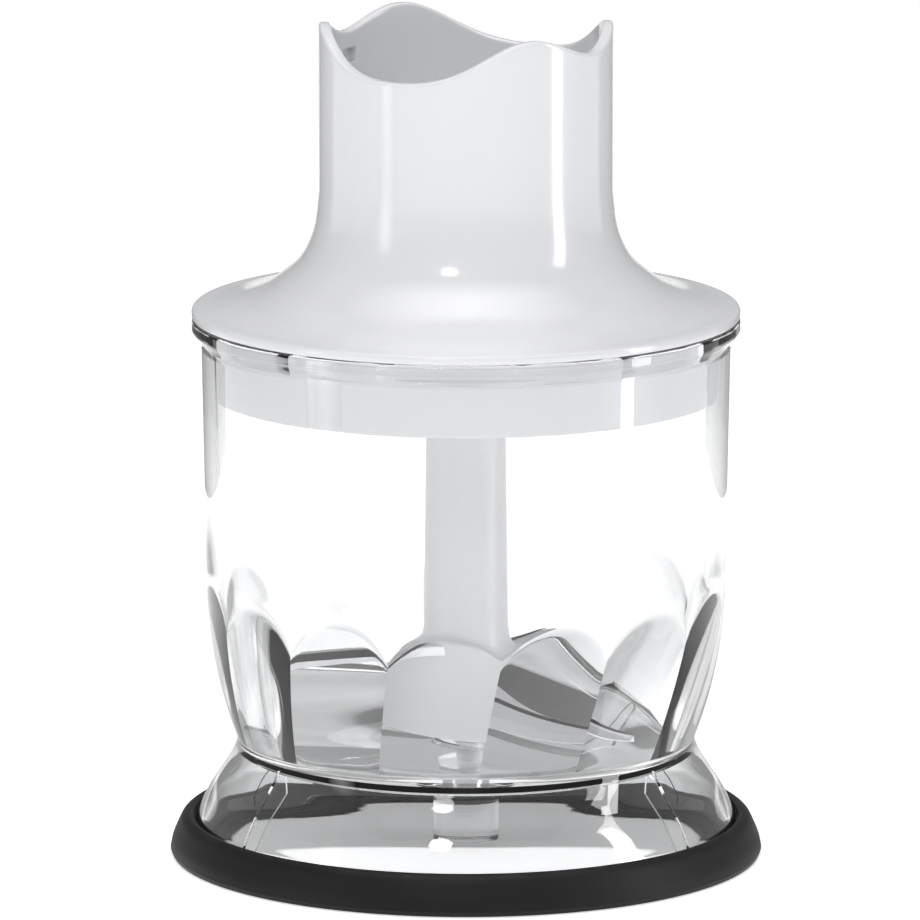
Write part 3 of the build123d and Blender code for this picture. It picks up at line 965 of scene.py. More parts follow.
@dataclass(frozen=True)
class ClearFinish(Finish):
    """Clear moulded plastic, with painted shade that darkens it where it is seen edge on.

    Attributes:
        edge: Colour that the plastic is tinted where it is seen edge on: painted shade that stands in
            for the dark surroundings seen along the wall.
        edge_shade_start: How far a face turns away before the painted edge shade starts, from 0 to 1.
        clearness: Share of the soft light that goes straight through.
    """

    # Painted shade: the dark grey that camera rays see the plastic tinted towards at grazing angles.
    edge: tuple[float, float, float] = (0.26, 0.26, 0.27)
    edge_shade_start: float = 0.42
    clearness: float = 0.88

    def build(self, effects: Effects) -> bpy.types.Material:
        """Builds the clear material.

        Args:
            effects: The shared shader groups.

        Returns:
            The material.
        """
        material = bpy.data.materials.new(self.slot)
        material.use_nodes = True
        tree = material.node_tree
        shader = tree.nodes["Principled BSDF"]
        shader.inputs["IOR"].default_value = self.ior
        shader.inputs["Transmission Weight"].default_value = 1.0
        # Painted shade: the base colour is darkened towards the edge colour where the face is seen
        # edge on, for camera rays only.
        facing = add_node(tree, "ShaderNodeLayerWeight")
        facing.inputs["Blend"].default_value = 0.5
        edge_shade = Field(tree, facing.outputs["Facing"])
        edge_shade = ((edge_shade - self.edge_shade_start) / (1 - self.edge_shade_start)).reckon("MAXIMUM", 0.0)
        path = add_node(tree, "ShaderNodeLightPath")
        edge_shade = edge_shade.reckon("POWER", 2.0) * Field(tree, path.outputs["Is Camera Ray"])
        tint = self.mixed(tree, edge_shade.source, self.colour, self.edge)
        tree.links.new(tint, shader.inputs["Base Color"])
        marks = self.placed(tree, effects.marks)
        marks.inputs["Amount"].default_value = self.marks
        rough = Field(tree, marks.outputs["Mask"]) * CLEAR_MARK_ROUGHNESS + self.roughness
        rough.plug(shader.inputs["Roughness"])
        flow = self.placed(tree, effects.grain)
        flow.inputs["Scale"].default_value = self.grain_scale
        bump = add_node(tree, "ShaderNodeBump")
        bump.inputs["Distance"].default_value = self.grain_depth * MM
        Field(tree, flow.outputs["Height"]).plug(bump.inputs["Height"])
        tree.links.new(bump.outputs["Normal"], shader.inputs["Normal"])
        shadow = Field(tree, path.outputs["Is Shadow Ray"])
        soft = shadow.reckon("MAXIMUM", Field(tree, path.outputs["Is Diffuse Ray"]))
        (Field(tree, 1.0) - soft * self.clearness).plug(shader.inputs["Alpha"])
        return material


FINISHES = (
    Finish("white_gloss", (0.80, 0.805, 0.82), (0.79, 0.795, 0.81), 0.14, 0.03, coat=0.3,
           grain_scale=350.0, grain_depth=0.002, marks=0.06, dust=0.05),
    Finish("white_satin", (0.74, 0.745, 0.755), (0.71, 0.715, 0.73), 0.32, 0.06,
           grain_scale=1200.0, grain_depth=0.006, marks=0.1),
    ClearFinish("clear_plastic", (0.985, 0.99, 0.995), (0.98, 0.98, 0.98), 0.004, ior=1.53,
                grain_scale=45.0, grain_depth=0.004, marks=0.1),
    Finish("black_rubber", (0.006, 0.006, 0.007), (0.011, 0.011, 0.012), 0.5, 0.06, specular=0.25,
           grain_scale=1500.0, grain_depth=0.02, marks=0.15, dust=0.02),
    Finish("seal_rubber", (0.22, 0.22, 0.23), (0.27, 0.27, 0.28), 0.5, 0.08, marks=0.1),
    Finish("blade_steel", (0.86, 0.86, 0.87), (0.76, 0.76, 0.77), 0.3, 0.08, metallic=1.0,
           grain_scale=500.0, grain_depth=0.008, marks=0.25, brushed=True),
    Finish("pin_steel", (0.6, 0.6, 0.61), (0.52, 0.52, 0.53), 0.22, 0.06, metallic=1.0,
           grain_scale=600.0, grain_depth=0.004, brushed=True, stretch=1.0),
    Finish("bush_bronze", (0.52, 0.34, 0.17), (0.4, 0.25, 0.12), 0.4, 0.1, metallic=1.0,
           grain_scale=1800.0, grain_depth=0.02),
    Finish("gear_plastic", (0.78, 0.76, 0.68), (0.74, 0.71, 0.63), 0.38, 0.06,
           grain_scale=900.0, grain_depth=0.01),
    Finish("sun_steel", (0.42, 0.42, 0.43), (0.3, 0.3, 0.31), 0.38, 0.1, metallic=1.0,
           grain_scale=1600.0, grain_depth=0.02),
    Finish("grey_plastic", (0.3, 0.31, 0.33), (0.26, 0.27, 0.29), 0.42, 0.08,
           grain_scale=1000.0, grain_depth=0.02),
    Finish("coupling_plastic", (0.6, 0.6, 0.61), (0.55, 0.55, 0.56), 0.35, 0.08,
           grain_scale=1100.0, grain_depth=0.01, marks=0.3),
)


# --- the workshop: what every sub-assembly is made with -----------------------------------
@dataclass
class Workshop:
    """The shared tools: node trees, effects and one material for each slot."""

    turned: TurnedTree = field(default_factory=TurnedTree)
    ring: RingTree = field(default_factory=RingTree)
    effects: Effects = field(default_factory=Effects)
    materials: dict[str, bpy.types.Material] = field(default_factory=dict)

    def __post_init__(self) -> None:
        """Builds the material of every finish."""
        for finish in FINISHES:
            self.materials[finish.slot] = finish.build(self.effects)

    def hand_over(self, piece: bpy.types.Object, body: str, slot: str, *nodes: str) -> None:
        """Gives a finished piece to the frame.

        Args:
            piece: The piece's object.
            body: The body that it moves with.
            slot: The record's material slot.
            nodes: The CAD nodes that it stands for.
        """
        if not piece.data.materials:
            piece.data.materials.append(self.materials[slot])
        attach(piece, body)
        if nodes:
            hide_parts(*nodes)
        LOG.info("%s rides on %s, %d faces", piece.name, body, len(piece.data.polygons))

    def mould(self, name: str, section: list[Corner], turning: Turning, body: str, slot: str,
              node: str) -> None:
        """Turns a piece that needs no more work and hands it over.

        Args:
            name: The piece's name.
            section: The traced profile.
            turning: The tree's settings.
            body: The body that the piece moves with.
            slot: The record's material slot.
            node: The CAD node that it stands for.
        """
        piece = self.turned.turn(name, section, turning, self.materials[slot])
        self.hand_over(piece, body, slot, node)

    def dress_node(self, node: str, slot: str) -> None:
        """Gives a CAD node that keeps its shape its material.

        Args:
            node: The node's name.
            slot: The record's material slot.
        """
        piece = frame["nodes"][node]
        for place in piece.material_slots:
            place.material = self.materials[slot]
        if not piece.material_slots:
            piece.data.materials.append(self.materials[slot])
        LOG.info("%s keeps its CAD shape in %s", node, slot)


# --- sub-assemblies -----------------------------------------------------------------------
@dataclass
class RubberRing:
    """The black anti-slip ring that the bowl stands in."""

    outer: float = 59.0
    inner: float = 54.3
    lip: float = 49.0
    lip_height: float = 1.5

    def section(self) -> list[Corner]:
        """Draws the ring's profile.

        Returns:
            The traced corners.
        """
        face = smooth_curve([
            (self.outer, 1.0), (self.outer - 0.4, 2.9), (self.outer - 1.2, 4.9),
            (self.outer - 2.1, 6.8), (self.outer - 2.9, 7.6), (self.outer - 3.7, 7.95),
        ], 5)
        corners = [
            Corner(self.outer - 0.4, 0.0, 0.3),
            *plain(face),
            Corner(self.inner, 7.7, 0.4),
            Corner(self.inner, self.lip_height, 0.3),
            Corner(self.lip, self.lip_height, 0.5),
            Corner(self.lip, 0.0, 0.3),
        ]
        return trace(corners, closed=True)

    def build(self, shop: Workshop) -> None:
        """Builds the ring.

        Args:
            shop: The workshop.
        """
        turning = Turning(columns=240)
        shop.mould("rubber_ring", self.section(), turning, "base_ring", "black_rubber", "base_ring")


@dataclass
class Bowl:
    """The clear bowl: foot, barrel wall with arched facets inside, and a 14-sided seat."""

    wall: float = 2.5
    barrel_arc: float = 88.3
    barrel_radius: float = 51.7
    barrel_top: float = 56.0
    barrel_start: float = 23.8
    waist_height: float = 22.9
    floor: float = 24.5
    underside: float = 21.0
    facet_top: float = 58.0
    facet_apothem: float = 42.3
    facet_top_apothem: float = 49.9
    facet_lean: float = math.radians(7.0)
    arch_round: float = 0.35
    seat_apothem: float = 49.6
    seat_floor: float = 104.0
    wall_top: tuple[float, float] = (52.6, 102.5)
    rim: tuple[float, float] = (54.4, 108.3)
    foot_radius: float = 54.0
    foot_wall: float = 2.2
    foot_bottom: float = 1.8
    foot_straight: float = 6.5
    pin_radius: float = 3.0
    nodes: tuple[str, ...] = ("bowl", "bowl_foot")
    pin_ends: tuple[float, float] = (15.0, 52.0)
    boss_radius: float = 6.2
    boss_top: float = 26.3
    foot_boss: tuple[float, float] = (6.5, 2.0)
    rib_turns: tuple[float, float] = (34.0, -34.0)
    rib_thickness: float = 0.8
    hook_turn: float = -47.0
    hook_radii: tuple[float, float] = (41.9, 43.1)
    hook_bottom: float = 14.4
    hook_bar: float = 1.6
    hook_toe: float = 3.2

    def barrel(self, height: float, inwards: float = 0.0) -> float:
        """Reckons the barrel wall's radius.

        Args:
            height: Height above the table in millimetres.
            inwards: How far inside the outer face, in millimetres.

        Returns:
            The radius in millimetres.
        """
        centre = self.barrel_radius - self.barrel_arc
        arc = self.barrel_arc - inwards
        return centre + math.sqrt(arc**2 - (self.barrel_top - height) ** 2)

    def turning(self) -> Turning:
        """Works out the settings for the facets and the seat.

        Returns:
            The tree's settings.
        """
        rise = self.facet_top - self.floor
        return Turning(
            columns=SIDES * 16,
            flat_apothem=self.seat_apothem * MM,
            facet_floor=self.floor * MM,
            facet_top=self.facet_top * MM,
            facet_apothem=self.facet_apothem * MM,
            facet_slope=(self.facet_top_apothem - self.facet_apothem) / rise,
            facet_lean=self.facet_lean,
            arch_round=self.arch_round * MM,
            barrel_centre=(self.barrel_radius - self.barrel_arc) * MM,
            barrel_arc=(self.barrel_arc - self.wall) * MM,
            barrel_height=self.barrel_top * MM,
        )

    def underneath(self) -> list[Corner]:
        """Draws the profile under the floor, from the axis to the foot's outer edge.

        Returns:
            The corners.
        """
        inside = smooth_curve([
            (43.5, self.underside), (45.2, 17.8), (49.1, 12.2),
            (self.foot_radius - self.foot_wall, self.foot_straight),
        ], 6)
        return [
            Corner(0.0, self.foot_boss[1]),
            Corner(*self.foot_boss, 0.8),
            Corner(self.foot_boss[0], self.underside, 1.0),
            Corner(43.0, self.underside, 0.6),
            *plain(inside[1:]),
            Corner(self.foot_radius - self.foot_wall, self.foot_bottom, 0.5),
            Corner(self.foot_radius, self.foot_bottom, 0.8),
        ]

    def outside(self) -> list[Corner]:
        """Draws the outer profile from the foot to the rim.

        Returns:
            The corners.
        """
        waist = self.barrel(self.barrel_start)
        flare = smooth_curve([
            (self.foot_radius, self.foot_straight), (53.4, 8.4), (51.2, 12.8), (47.2, 19.0),
            (waist + 0.25, self.waist_height - 1.0),
        ], 6)
        steps = 16
        rise = (self.barrel_top - self.barrel_start) / steps
        levels = [self.barrel_start + rise * step for step in range(1, steps + 1)]
        lip = smooth_curve([
            self.wall_top, (53.0, 104.3), (54.3, 106.0), (self.rim[0], 106.6),
        ], 5)
        return [
            *plain(flare),
            Corner(waist, self.waist_height, 0.3),
            Corner(waist, self.barrel_start, 0.3),
            *plain([(self.barrel(level), level) for level in levels]),
            *plain(lip),
            Corner(*self.rim, 0.8),
        ]

    def inside(self) -> list[Corner]:
        """Draws the inner profile from the rim down to the axis.

        Returns:
            The corners.
        """
        wall = self.wall_top[0] - self.wall
        above = [0.85, 0.65, 0.45, 0.3, 0.2, 0.14, 0.09, 0.05, 0.02]
        below = [1.0, 0.99, 0.98, 0.965, 0.95, 0.93, 0.9, 0.86, 0.8, 0.7, 0.6, 0.5, 0.4, 0.3, 0.2,
                 0.1, 0.0]
        return [
            Corner(self.wall_top[0], self.rim[1]),
            Corner(wall, self.rim[1], rule=Rule.NOTCHED, crease=True),
            Corner(wall, self.seat_floor, rule=Rule.NOTCHED, crease=True),
            Corner(wall, self.seat_floor),
            Corner(self.barrel(self.barrel_top, self.wall) + 0.04, self.facet_top),
            *[Corner(49.0, 55.0, rule=Rule.ABOVE_ARCH, share=share) for share in above],
            *[Corner(45.0, 40.0, rule=Rule.BELOW_ARCH, share=share, crease=share == 0)
              for share in below],
            Corner(self.boss_radius, self.floor, 1.0),
            Corner(self.boss_radius, self.boss_top, 0.6),
            Corner(0.0, self.boss_top),
        ]

    def rib_outline(self) -> list[tuple[float, float]]:
        """Draws a stiffening rib inside the foot.

        Returns:
            The outline's points (radius, height) in millimetres.
        """
        edge = self.foot_radius - self.foot_wall / 2
        return [
            (42.0, 16.5), (46.5, 11.0), (edge - 2.6, 4.0), (edge, 4.0), (edge, self.foot_straight),
            (50.1, 12.5), (46.5, 18.4), (44.4, 21.5), (42.0, 21.5),
        ]

    def hook(self) -> bpy.types.Object:
        """Makes the small hook under the floor.

        Returns:
            The hook's object.
        """
        foot, bar, toe = self.hook_bottom, self.hook_bar, self.hook_toe
        top = self.underside + 1.0
        outline = [(0.0, top), (-bar, top), (-bar, foot + bar), (-toe, foot + bar), (-toe, foot),
                   (0.0, foot)]
        near, far = self.hook_radii
        hook = prism("bowl_hook", outline, far - near)
        hook.data.transform(Matrix.Translation((0.0, -(near + far) / 2 * MM, 0.0)))
        hook.data.transform(Matrix.Rotation(math.radians(self.hook_turn + 90), 4, "Z"))
        return hook

    def build(self, shop: Workshop) -> None:
        """Builds the bowl and its steel pin.

        Args:
            shop: The workshop.
        """
        clear = shop.materials["clear_plastic"]
        section = trace([*self.underneath(), *self.outside(), *self.inside()], closed=False)
        bowl = shop.turned.turn("clear_bowl", section, self.turning(), clear)
        for turn in self.rib_turns:
            ribs = prism("foot_ribs", self.rib_outline(), self.rib_thickness)
            shop.ring.repeat(ribs, 2, math.radians(turn), clear)
            combine(bowl, ribs, "UNION")
        combine(bowl, self.hook(), "UNION")
        shop.hand_over(bowl, "bowl", "clear_plastic", *self.nodes)
        low, high = self.pin_ends
        corners = [
            Corner(0.0, low), Corner(self.pin_radius, low, 0.3),
            Corner(self.pin_radius, high, 1.4), Corner(0.0, high),
        ]
        pin = trace(corners, closed=False)
        shop.mould("bowl_pin_steel", pin, Turning(columns=72), "bowl", "pin_steel", "bowl_pin")


@dataclass
class LidHousing:
    """The white shell with its shoulder, collar and wavy edge."""

    edge_radius: float = 54.4
    edge_inner: float = 52.2
    edge_bottom: float = 108.6
    shell: float = 2.1
    collar: float = 29.1
    bore: float = 26.8
    stop_radius: float = 25.5
    stop_height: float = 134.0
    floor: tuple[float, float] = (122.5, 125.0)
    floor_hole: float = 8.0
    rim_height: float = 163.62
    waves: tuple[float, float, float] = (3.19, -2.31, -1.0)
    wave_turn: float = math.radians(-30.0)
    wave_start: float = 137.0
    wave_step: float = 6.0
    wave_rows: int = 4
    catch_height: float = 158.5
    catch_depth: float = 1.2
    catch_size: tuple[float, float] = (5.0, 3.0)
    shoulder: tuple[tuple[float, float], ...] = (
        (53.4, 110.4), (50.0, 110.8), (45.0, 112.0), (40.0, 114.3), (36.0, 117.2),
        (33.0, 120.1), (31.0, 123.6), (29.8, 127.7), (29.1, 134.0),
    )

    def wavy(self, radius: float, height: float, fillet: float = 0.0) -> Corner:
        """Makes a corner that follows the wavy edge the more, the higher it is.

        Args:
            radius: Distance from the axis in millimetres.
            height: Height above the table in millimetres.
            fillet: Radius that the corner is rounded with.

        Returns:
            The corner.
        """
        share = (height - self.wave_start) / (self.rim_height - self.wave_start)
        return Corner(radius, height, fillet, Rule.WAVY, share)

    def section(self) -> list[Corner]:
        """Draws the shell's profile.

        Returns:
            The traced corners.
        """
        curve = smooth_curve(list(self.shoulder), 6)
        hollow = [p for p in inset(curve, self.shell) if p[1] < self.floor[0] - 0.6]
        levels = [self.wave_start + self.wave_step * step for step in range(self.wave_rows)]
        corners = [
            Corner(self.edge_radius, self.edge_bottom, 0.5),
            Corner(self.edge_radius, self.shoulder[0][1] - 0.15, 0.75),
            *plain(curve[2:]),
            *[self.wavy(self.collar, level) for level in levels],
            self.wavy(self.collar, self.rim_height, 0.8),
            self.wavy(self.bore, self.rim_height, 0.7),
            *[self.wavy(self.bore, level) for level in reversed(levels)],
            Corner(self.bore, self.stop_height, 0.2),
            Corner(self.stop_radius, self.stop_height, 0.4),
            Corner(self.stop_radius, self.floor[1], 1.2),
            Corner(self.floor_hole, self.floor[1], 0.5),
            Corner(self.floor_hole, self.floor[0], 0.3),
            Corner(self.collar + 0.1, self.floor[0], 0.5),
            *plain(list(reversed(hollow))),
            Corner(self.edge_inner, self.edge_bottom, 0.3),
        ]
        return trace(corners, closed=True)

    def build(self, shop: Workshop) -> None:
        """Builds the shell and cuts the two catch pockets into the collar.

        Args:
            shop: The workshop.
        """
        two, four, six = (wave * MM for wave in self.waves)
        turning = Turning(
            columns=288, wave_two=two, wave_four=four, wave_six=six, wave_turn=self.wave_turn
        )
        white = shop.materials["white_gloss"]
        shell = shop.turned.turn("lid_shell", self.section(), turning, white)
        across, high = self.catch_size
        low, high = self.catch_height - high / 2, self.catch_height + high / 2
        inner, outer = self.bore - self.catch_depth, self.bore + self.catch_depth
        outline = [(inner, low), (outer, low), (outer, high), (inner, high)]
        pocket = prism("catch_pockets", outline, across)
        shop.ring.repeat(pocket, 2, self.wave_turn, white)
        combine(shell, pocket, "DIFFERENCE")
        shop.hand_over(shell, "lid", "white_gloss", "lid_housing")


@dataclass
class LidPlate:
    """The plate that closes the lid from below, with its skirt and 14-sided band."""

    hub: tuple[float, float] = (10.15, 13.0)
    hub_heights: tuple[float, float] = (96.0, 106.0)
    plate: tuple[float, float] = (100.0, 102.5)
    skirt: tuple[float, float] = (47.4, 49.6)
    skirt_bottom: float = 93.5
    band_apothem: float = 49.3
    band_heights: tuple[float, float] = (104.3, 108.4)
    band_inner: float = 48.0

    def section(self) -> list[Corner]:
        """Draws the plate's profile.

        Returns:
            The traced corners.
        """
        band = self.band_apothem + 0.7
        corners = [
            Corner(self.hub[0], self.hub_heights[0], 0.2),
            Corner(self.hub[1], self.hub_heights[0], 0.6),
            Corner(self.hub[1], self.plate[0], 1.0),
            Corner(self.skirt[0], self.plate[0], 1.0),
            Corner(self.skirt[0], self.skirt_bottom, 0.4),
            Corner(self.skirt[1] - 0.2, self.skirt_bottom, 0.6),
            Corner(self.skirt[1], self.skirt_bottom + 6),
            Corner(self.skirt[1], self.band_heights[0], 0.2),
            Corner(band, self.band_heights[0], rule=Rule.FLATS, crease=True),
            Corner(band, self.band_heights[1], rule=Rule.FLATS, crease=True),
            Corner(self.band_inner, self.band_heights[1], 0.3),
            Corner(self.band_inner, self.plate[1], 0.5),
            Corner(self.hub[1], self.plate[1], 0.5),
            Corner(self.hub[1], self.hub_heights[1], 0.3),
            Corner(self.hub[0], self.hub_heights[1], 0.2),
        ]
        return trace(corners, closed=True)

    def build(self, shop: Workshop) -> None:
        """Builds the plate.

        Args:
            shop: The workshop.
        """
        turning = Turning(columns=SIDES * 16, flat_apothem=self.band_apothem * MM)
        shop.mould("lid_plate_white", self.section(), turning, "lid", "white_satin", "lid_plate")


@dataclass
class BladeUnit:
    """The white shaft with its hub, hexagonal head and two S-shaped blades."""

    hub_radius: float = 12.6
    hub_heights: tuple[float, float] = (26.6, 40.4)
    shaft_low: tuple[float, float] = (8.35, 47.0)
    shaft_top: tuple[float, float] = (7.75, 96.8)
    head_apothem: float = 5.0
    head_top: float = 105.0
    hollow: tuple[float, float] = (4.5, 60.0)
    thickness: float = 1.2
    bevel: float = 2.6
    root: float = 9.0
    blades: tuple[tuple[str, float, float, float], ...] = (
        ("upper_blade", 31.0, 38.6, -132.0),
        ("lower_blade", 38.0, 28.4, -42.0),
    )

    def section(self) -> list[Corner]:
        """Draws the shaft's profile.

        Returns:
            The traced corners.
        """
        flare = smooth_curve([
            (self.hub_radius - 1.0, self.hub_heights[1] + 0.2), (10.2, 41.3), (8.9, 43.4),
            self.shaft_low,
        ], 6)
        head = self.head_apothem + 0.3
        corners = [
            Corner(0.0, self.hollow[1]),
            Corner(self.hollow[0], self.hollow[1]),
            Corner(self.hollow[0], self.hub_heights[0], 0.2),
            Corner(self.hub_radius, self.hub_heights[0], 0.8),
            Corner(self.hub_radius, self.hub_heights[1], 0.8),
            *plain(flare),
            Corner(*self.shaft_top, 0.6),
            Corner(head, self.shaft_top[1], rule=Rule.FLATS, crease=True),
            Corner(head, self.head_top, rule=Rule.FLATS, crease=True),
            Corner(0.0, self.head_top),
        ]
        return trace(corners, closed=False)

    def wing(self, reach: float) -> list[tuple[float, float, float]]:
        """Draws one wing of a blade.

        Args:
            reach: Distance from the axis to the tip, in millimetres.

        Returns:
            Points (x, y, how much the edge is ground, from 0 to 1).
        """
        root = self.root
        leading = smooth_curve([
            (0.0, -root), (0.45 * reach, -0.85 * root), (0.8 * reach, -0.35 * root),
            (reach, 0.55 * root),
        ], 10)
        trailing = smooth_curve([
            (reach, 0.55 * root), (0.7 * reach, 0.35 * root), (0.4 * reach, 0.5 * root),
            (0.25 * reach, root),
        ], 8)
        ground = [(x, y, min(1.0, max(0.0, (x / reach - 0.28) * 6))) for x, y in leading[:-1]]
        return [*ground, *[(x, y, 0.0) for x, y in trailing]]

    def blade_mesh(self, name: str, reach: float, height: float, turn: float) -> bpy.types.Object:
        """Makes one flat blade, ground to an edge along each wing's leading side.

        Args:
            name: The CAD node that the blade stands for.
            reach: Distance from the axis to a tip, in millimetres.
            height: Height of the blade's underside.
            turn: Angle of the first wing in degrees.

        Returns:
            The blade's object.
        """
        wing = self.wing(reach)
        outline = [*wing, *[(-x, -y, ground) for x, y, ground in wing]]
        count = len(outline)
        layers = [[], [], []]
        for index, (x, y, ground) in enumerate(outline):
            before, after = outline[index - 1], outline[(index + 1) % count]
            along = Vector((after[0] - before[0], after[1] - before[1])).normalized()
            depth = 0.08 + self.bevel * ground
            land = self.thickness * (0.92 - 0.78 * ground)
            layers[0].append((x, y, height))
            layers[1].append((x, y, height + land))
            layers[2].append((x - depth * along.y, y + depth * along.x, height + self.thickness))
        faces = [tuple(reversed(range(count))), tuple(range(2 * count, 3 * count))]
        for layer in (0, count):
            for here in range(count):
                ahead = (here + 1) % count
                near, far = layer + here, layer + ahead
                faces.append((near, far, far + count, near + count))
        data = bpy.data.meshes.new(name)
        data.from_pydata([Vector(p) * MM for layer in layers for p in layer], [], faces)
        data.transform(Matrix.Rotation(math.radians(turn), 4, "Z"))
        data.set_sharp_from_angle(angle=math.radians(15))
        piece = bpy.data.objects.new(f"{name}_steel", data)
        bpy.context.scene.collection.objects.link(piece)
        return piece

    def build(self, shop: Workshop) -> None:
        """Builds the shaft and both blades.

        Args:
            shop: The workshop.
        """
        turning = Turning(columns=144, flats=6.0, flat_apothem=self.head_apothem * MM)
        section = self.section()
        shop.mould("blade_shaft_white", section, turning, "blade", "white_satin", "blade_shaft")
        for name, reach, height, turn in self.blades:
            blade = self.blade_mesh(name, reach, height, turn)
            shop.hand_over(blade, "blade", "blade_steel", name)


@dataclass
class DriveTrain:
    """The coupling for the motor, and the gear that stays as the CAD has it."""

    coupling_radius: float = 6.5
    coupling_heights: tuple[float, float] = (124.0, 133.0)
    socket_floor: float = 127.5
    socket_apothem: float = 3.5

    def section(self) -> list[Corner]:
        """Draws the coupling's profile.

        Returns:
            The traced corners.
        """
        low, high = self.coupling_heights
        mouth = self.socket_apothem + 0.4
        corners = [
            Corner(0.0, low),
            Corner(self.coupling_radius, low, 0.3),
            Corner(self.coupling_radius, high, 0.8),
            Corner(mouth + 0.6, high),
            Corner(mouth, high, rule=Rule.FLATS, crease=True),
            Corner(mouth, self.socket_floor, rule=Rule.FLATS, crease=True),
            Corner(0.0, self.socket_floor),
        ]
        return trace(corners, closed=False)

    def build(self, shop: Workshop) -> None:
        """Builds the coupling and dresses the gear's CAD nodes.

        Args:
            shop: The workshop.
        """
        apothem = self.socket_apothem * MM
        turning = Turning(columns=96, flats=6.0, flat_turn=0.0, flat_apothem=apothem)
        shop.mould(
            "motor_coupling", self.section(), turning, "input", "coupling_plastic", "drive_coupling"
        )
        for part in frame["record"]["subparts"]:
            if not frame["nodes"][part["node"]].hide_render:
                shop.dress_node(part["node"], part["material_slot"])


# --- studio -------------------------------------------------------------------------------
@dataclass(frozen=True)
class Softbox:
    """A lit panel, or a dark flag if its radiance is low.

    Attributes:
        name: Its name.
        azimuth: Degrees from the front, positive to the right.
        elevation: Degrees above the horizon.
        distance: Metres from the object's middle.
        size: Width and height in metres.
        radiance: Brightness of its face.
        soft_edge: Share of its width that fades out, from 0 to 1.
        round_face: Whether it is a disc.
        fills: Whether it lights matt surfaces.
        shines: Whether it is seen in reflections.
        seen_through: Whether it also shows through clear plastic.
    """

    name: str
    azimuth: float
    elevation: float
    distance: float
    size: tuple[float, float]
    radiance: float
    soft_edge: float = 0.0
    round_face: bool = False
    fills: bool = True
    shines: bool = True
    seen_through: bool = True


